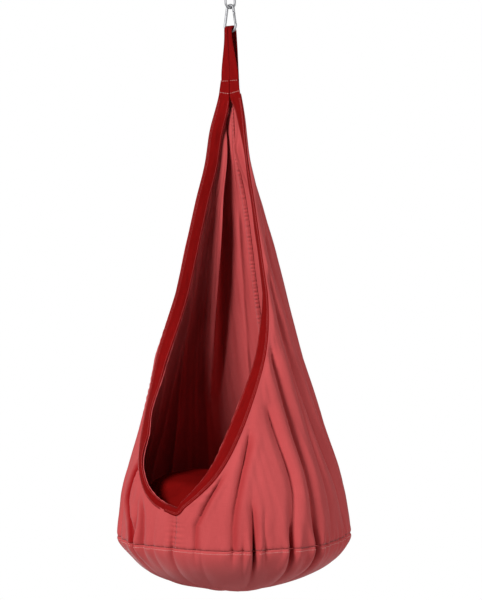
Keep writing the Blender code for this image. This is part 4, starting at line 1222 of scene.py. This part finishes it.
def swivel():
    """The bow with its boss, and the eye that turns in it."""
    boss_bottom = -BOW_INSIDE_HEIGHT - BOSS_HEIGHT
    loop = stadium(BOW_HALF_WIDTH, BOW_ROD / 2, boss_bottom + BOW_ROD / 2)
    ring = tube_mesh("bow", loop, BOW_ROD / 2, LEVEL_Y, closed=True)
    boss = lathe_mesh("boss", chamfered(BOSS_RADIUS, boss_bottom, -BOW_INSIDE_HEIGHT, BOSS_BEVEL))
    bore = SHANK_RADIUS + FIT
    hole = lathe_mesh("hole", [(bore, 0.0), (bore, boss_bottom - BOSS_HEIGHT)])
    whole = cut_mesh(cut_mesh(ring, boss, "UNION"), hole, "DIFFERENCE")
    add("bow", whole, STEEL, "bow", ["swivel_bow"])
    flange_top = boss_bottom - FIT
    flange_bottom = flange_top - FLANGE_HEIGHT
    loop = stadium(EYE_HALF_WIDTH, flange_bottom + EYE_IN_FLANGE, EYE_BOTTOM)
    eye = tube_mesh("eye", loop, EYE_ROD / 2, LEVEL_Y, closed=True)
    eye.transform(Matrix.Rotation(EYE_TURN, 4, "Z"))
    collar = lathe_mesh("collar", chamfered(FLANGE_RADIUS, flange_bottom, flange_top, FLANGE_BEVEL))
    shank_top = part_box("swivel_nut")[1].z + FIT
    shank_bottom = flange_bottom + FLANGE_HEIGHT / 2
    shank = lathe_mesh("shank", chamfered(SHANK_RADIUS, shank_bottom, shank_top, SHANK_BEVEL), 32)
    whole = cut_mesh(cut_mesh(eye, collar, "UNION"), shank, "UNION")
    add("eye", whole, STEEL, "eye", ["swivel_eye"])


def hook_body(narrow, wide, lean):
    """The hook's rod, from a flat rounded tongue at the pivot, over the top and round to its nose. narrow and
    wide are the levels of the centres of its two ends, and lean is the slope of its legs."""
    leg_down = np.array([math.sin(lean), 0, -math.cos(lean)])
    aside = np.array([math.cos(lean), 0, math.sin(lean)])
    pivot = np.array(PIVOT)
    nose = pivot + leg_down * (GATE_LENGTH + FIT)
    over = arc(0, narrow, NARROW_RADIUS, lean, math.pi - lean, 30)
    under = arc(0, wide, WIDE_RADIUS, math.pi - lean, 2 * math.pi + lean, 48)
    leg = [pivot + leg_down * mix(TONGUE_ROUND, -LEG_ABOVE_PIVOT, k / 9) for k in range(10)]
    tail = [mix(under[-1], nose, k / 6) for k in range(1, 7)]
    body = tube_mesh("hook_body", np.vstack([leg, over, under, tail]), CARABINER_ROD / 2, LEVEL_Y)
    points = np.array([corner.co for corner in body.vertices])
    drop, beside = (points - pivot) @ leg_down, (points - pivot) @ aside
    tongue = (drop > -PIVOT_ROUND - FIT) & (drop < TONGUE_ROUND + FIT) & (np.abs(beside) < CARABINER_ROD)
    points[tongue, 1] = np.clip(points[tongue, 1], -TONGUE_THICKNESS / 2, TONGUE_THICKNESS / 2)
    half_width = np.sqrt(np.maximum(TONGUE_ROUND ** 2 - np.maximum(drop, 0) ** 2, FIT ** 2))
    points += np.where(tongue, np.clip(beside, -half_width, half_width) - beside, 0)[:, None] * aside
    body.vertices.foreach_set("co", points.astype(np.float32).ravel())
    body.set_sharp_from_angle(angle=math.radians(40))
    add("hook_body", body, STEEL, "carabiner", ["carabiner_body"])


def hook_gate(lean):
    """The gate: a rod with a round end, slotted to take the hook's tongue."""
    rise = np.linspace(math.acos(GATE_ROD / 2 / PIVOT_ROUND), math.pi / 2 - 0.08, 8)
    profile = [(PIVOT_ROUND * math.cos(a), PIVOT_ROUND * math.sin(a)) for a in rise[::-1]]
    end = FIT - GATE_LENGTH
    profile += [(GATE_ROD / 2, end + GATE_BEVEL), (GATE_ROD / 2 - GATE_BEVEL, end)]
    half = TONGUE_THICKNESS / 2 + FIT
    levels = -TONGUE_ROUND - FIT - PLUNGER_SHOWS, 2 * PIVOT_ROUND
    slot = [(x, y, z) for x in (-GATE_ROD, GATE_ROD) for y in (-half, half) for z in levels]
    gate = cut_mesh(lathe_mesh("hook_gate", profile, 40), mesh_of("slot", slot, BOX_FACES), "DIFFERENCE")
    gate.transform(Matrix.Translation(PIVOT) @ Matrix.Rotation(-lean, 4, "Y"))
    add("hook_gate", gate, STEEL, "gate", ["carabiner_gate"])


def snap_hook():
    """The pear-shaped hook and its gate."""
    narrow, wide = BOW_LEVEL + CARABINER_LENGTH - NARROW_RADIUS, BOW_LEVEL + WIDE_RADIUS
    lean = math.asin((WIDE_RADIUS - NARROW_RADIUS) / (narrow - wide))
    hook_body(narrow, wide, lean)
    hook_gate(lean)


# Stage

CAMERA_AZIMUTH = math.radians(28)
CAMERA_DISTANCE = 4.0
CAMERA_LEVEL = -0.8310
CAMERA_ASIDE = 0.0231  # the optical axis passes this far to the right of the pod's axis
CAMERA_ROLL = math.radians(0.35)
CAMERA_LENS = 93.4
SENSOR_WIDTH = 36
FLOOR_LEVEL = -2.4
FLOOR_RADIUS = 1.25
SOFT_LIGHT = 0.06  # of the surroundings, on everything
# Lamps that face the pod: azimuth and elevation in degrees, distance, size and power
LAMPS = {
    "key": (-11, 18, 3.2, 1.0, 122),
    "fill_right": (85, 8, 3.0, 2.0, 53),
    "rim_left": (-115, 8, 3.0, 2.0, 14),
    "behind": (-165, 12, 3.0, 2.0, 45),
}


def aim(thing, target):
    thing.rotation_mode = "QUATERNION"
    thing.rotation_quaternion = (Vector(target) - thing.location).to_track_quat("-Z", "Y")


def place_camera():
    data = bpy.data.cameras.new("camera")
    data.lens = CAMERA_LENS
    data.sensor_width = SENSOR_WIDTH
    camera = linked("camera", data)
    back = Vector((math.sin(CAMERA_AZIMUTH), -math.cos(CAMERA_AZIMUTH), 0))
    right = Vector((math.cos(CAMERA_AZIMUTH), math.sin(CAMERA_AZIMUTH), 0))
    target = right * CAMERA_ASIDE + Vector((0, 0, CAMERA_LEVEL))
    camera.location = target + back * CAMERA_DISTANCE
    aim(camera, target)
    camera.rotation_quaternion = Quaternion(back, -CAMERA_ROLL) @ camera.rotation_quaternion
    bpy.context.scene.camera = camera


def area_light(name, azimuth, elevation, distance, size, power):
    data = bpy.data.lights.new(name, "AREA")
    data.size = size
    data.energy = power
    lamp = linked(name, data)
    a, e = math.radians(azimuth), math.radians(elevation)
    centre = Vector((0, 0, CAMERA_LEVEL))
    toward = Vector((math.sin(a) * math.cos(e), -math.cos(a) * math.cos(e), math.sin(e)))
    lamp.location = centre + toward * distance
    aim(lamp, centre)


def white_surroundings():
    """White to the camera and in the steel, and a plain soft light on everything."""
    world = bpy.data.worlds.new("studio")
    bpy.context.scene.world = world
    world.use_nodes = True
    tree = world.node_tree
    ray = node(tree, "ShaderNodeLightPath")
    seen = maths(tree, "MAXIMUM", ray.outputs["Is Camera Ray"], ray.outputs["Is Glossy Ray"])
    seen = maths(tree, "MAXIMUM", seen, ray.outputs["Is Transmission Ray"])
    strength = maths(tree, "MULTIPLY_ADD", seen, 1 - SOFT_LIGHT, SOFT_LIGHT)
    set_inputs(tree, tree.nodes["Background"], {"Color": (1, 1, 1, 1), "Strength": strength})


def stage():
    """A pale floor far below the pod, the surroundings and the lamps."""
    turn = circle(96)
    points = joined(FLOOR_RADIUS * np.cos(turn), FLOOR_RADIUS * np.sin(turn), FLOOR_LEVEL)
    floor = linked("floor", mesh_of("floor", points, [list(range(len(turn)))]))
    pale = plain_finish("pale_floor", (0.80, 0.80, 0.80), (0.84, 0.84, 0.84), grain=3.0, roughness=0.9)
    floor.data.materials.append(pale)
    white_surroundings()
    for name, settings in LAMPS.items():
        area_light(name, *settings)
    bpy.context.scene.view_settings.view_transform = "Standard"


def main():
    walls, hems, edge_lines = [], [], []
    for word, side in (("left", -1), ("right", 1)):
        walls.append(wall(word, side))
        hems.append(hem(word, side))
        loop_strap(word, side)
        rows, front = band(word, side)
        below_lap = slice(LAP_ROWS + 2, None)
        edge_lines += [across_band(rows[below_lap], front[below_lap], share) for share in BAND_STITCH_LINES]
        lines = lap_lines(rows, front, (LAP_TOP - 0.002, COLLAR + 0.003))
        stitching(f"lap_stitches_{word}", lines, PINK_THREAD, "webbing", **LAP_STITCHES)
    stitching("band_stitches", edge_lines, CORAL_THREAD, "webbing")
    bottom = base()
    floor = floor_sheet()
    cushion()
    swivel()
    snap_hook()
    for name in ("swivel_washer", "swivel_nut", "gate_rivet", "gate_plunger", "gate_spring"):
        kept = frame["nodes"][name]
        kept.data.materials.clear()
        kept.data.materials.append(STEEL)
    back_seam()
    stage()
    place_camera()


main()
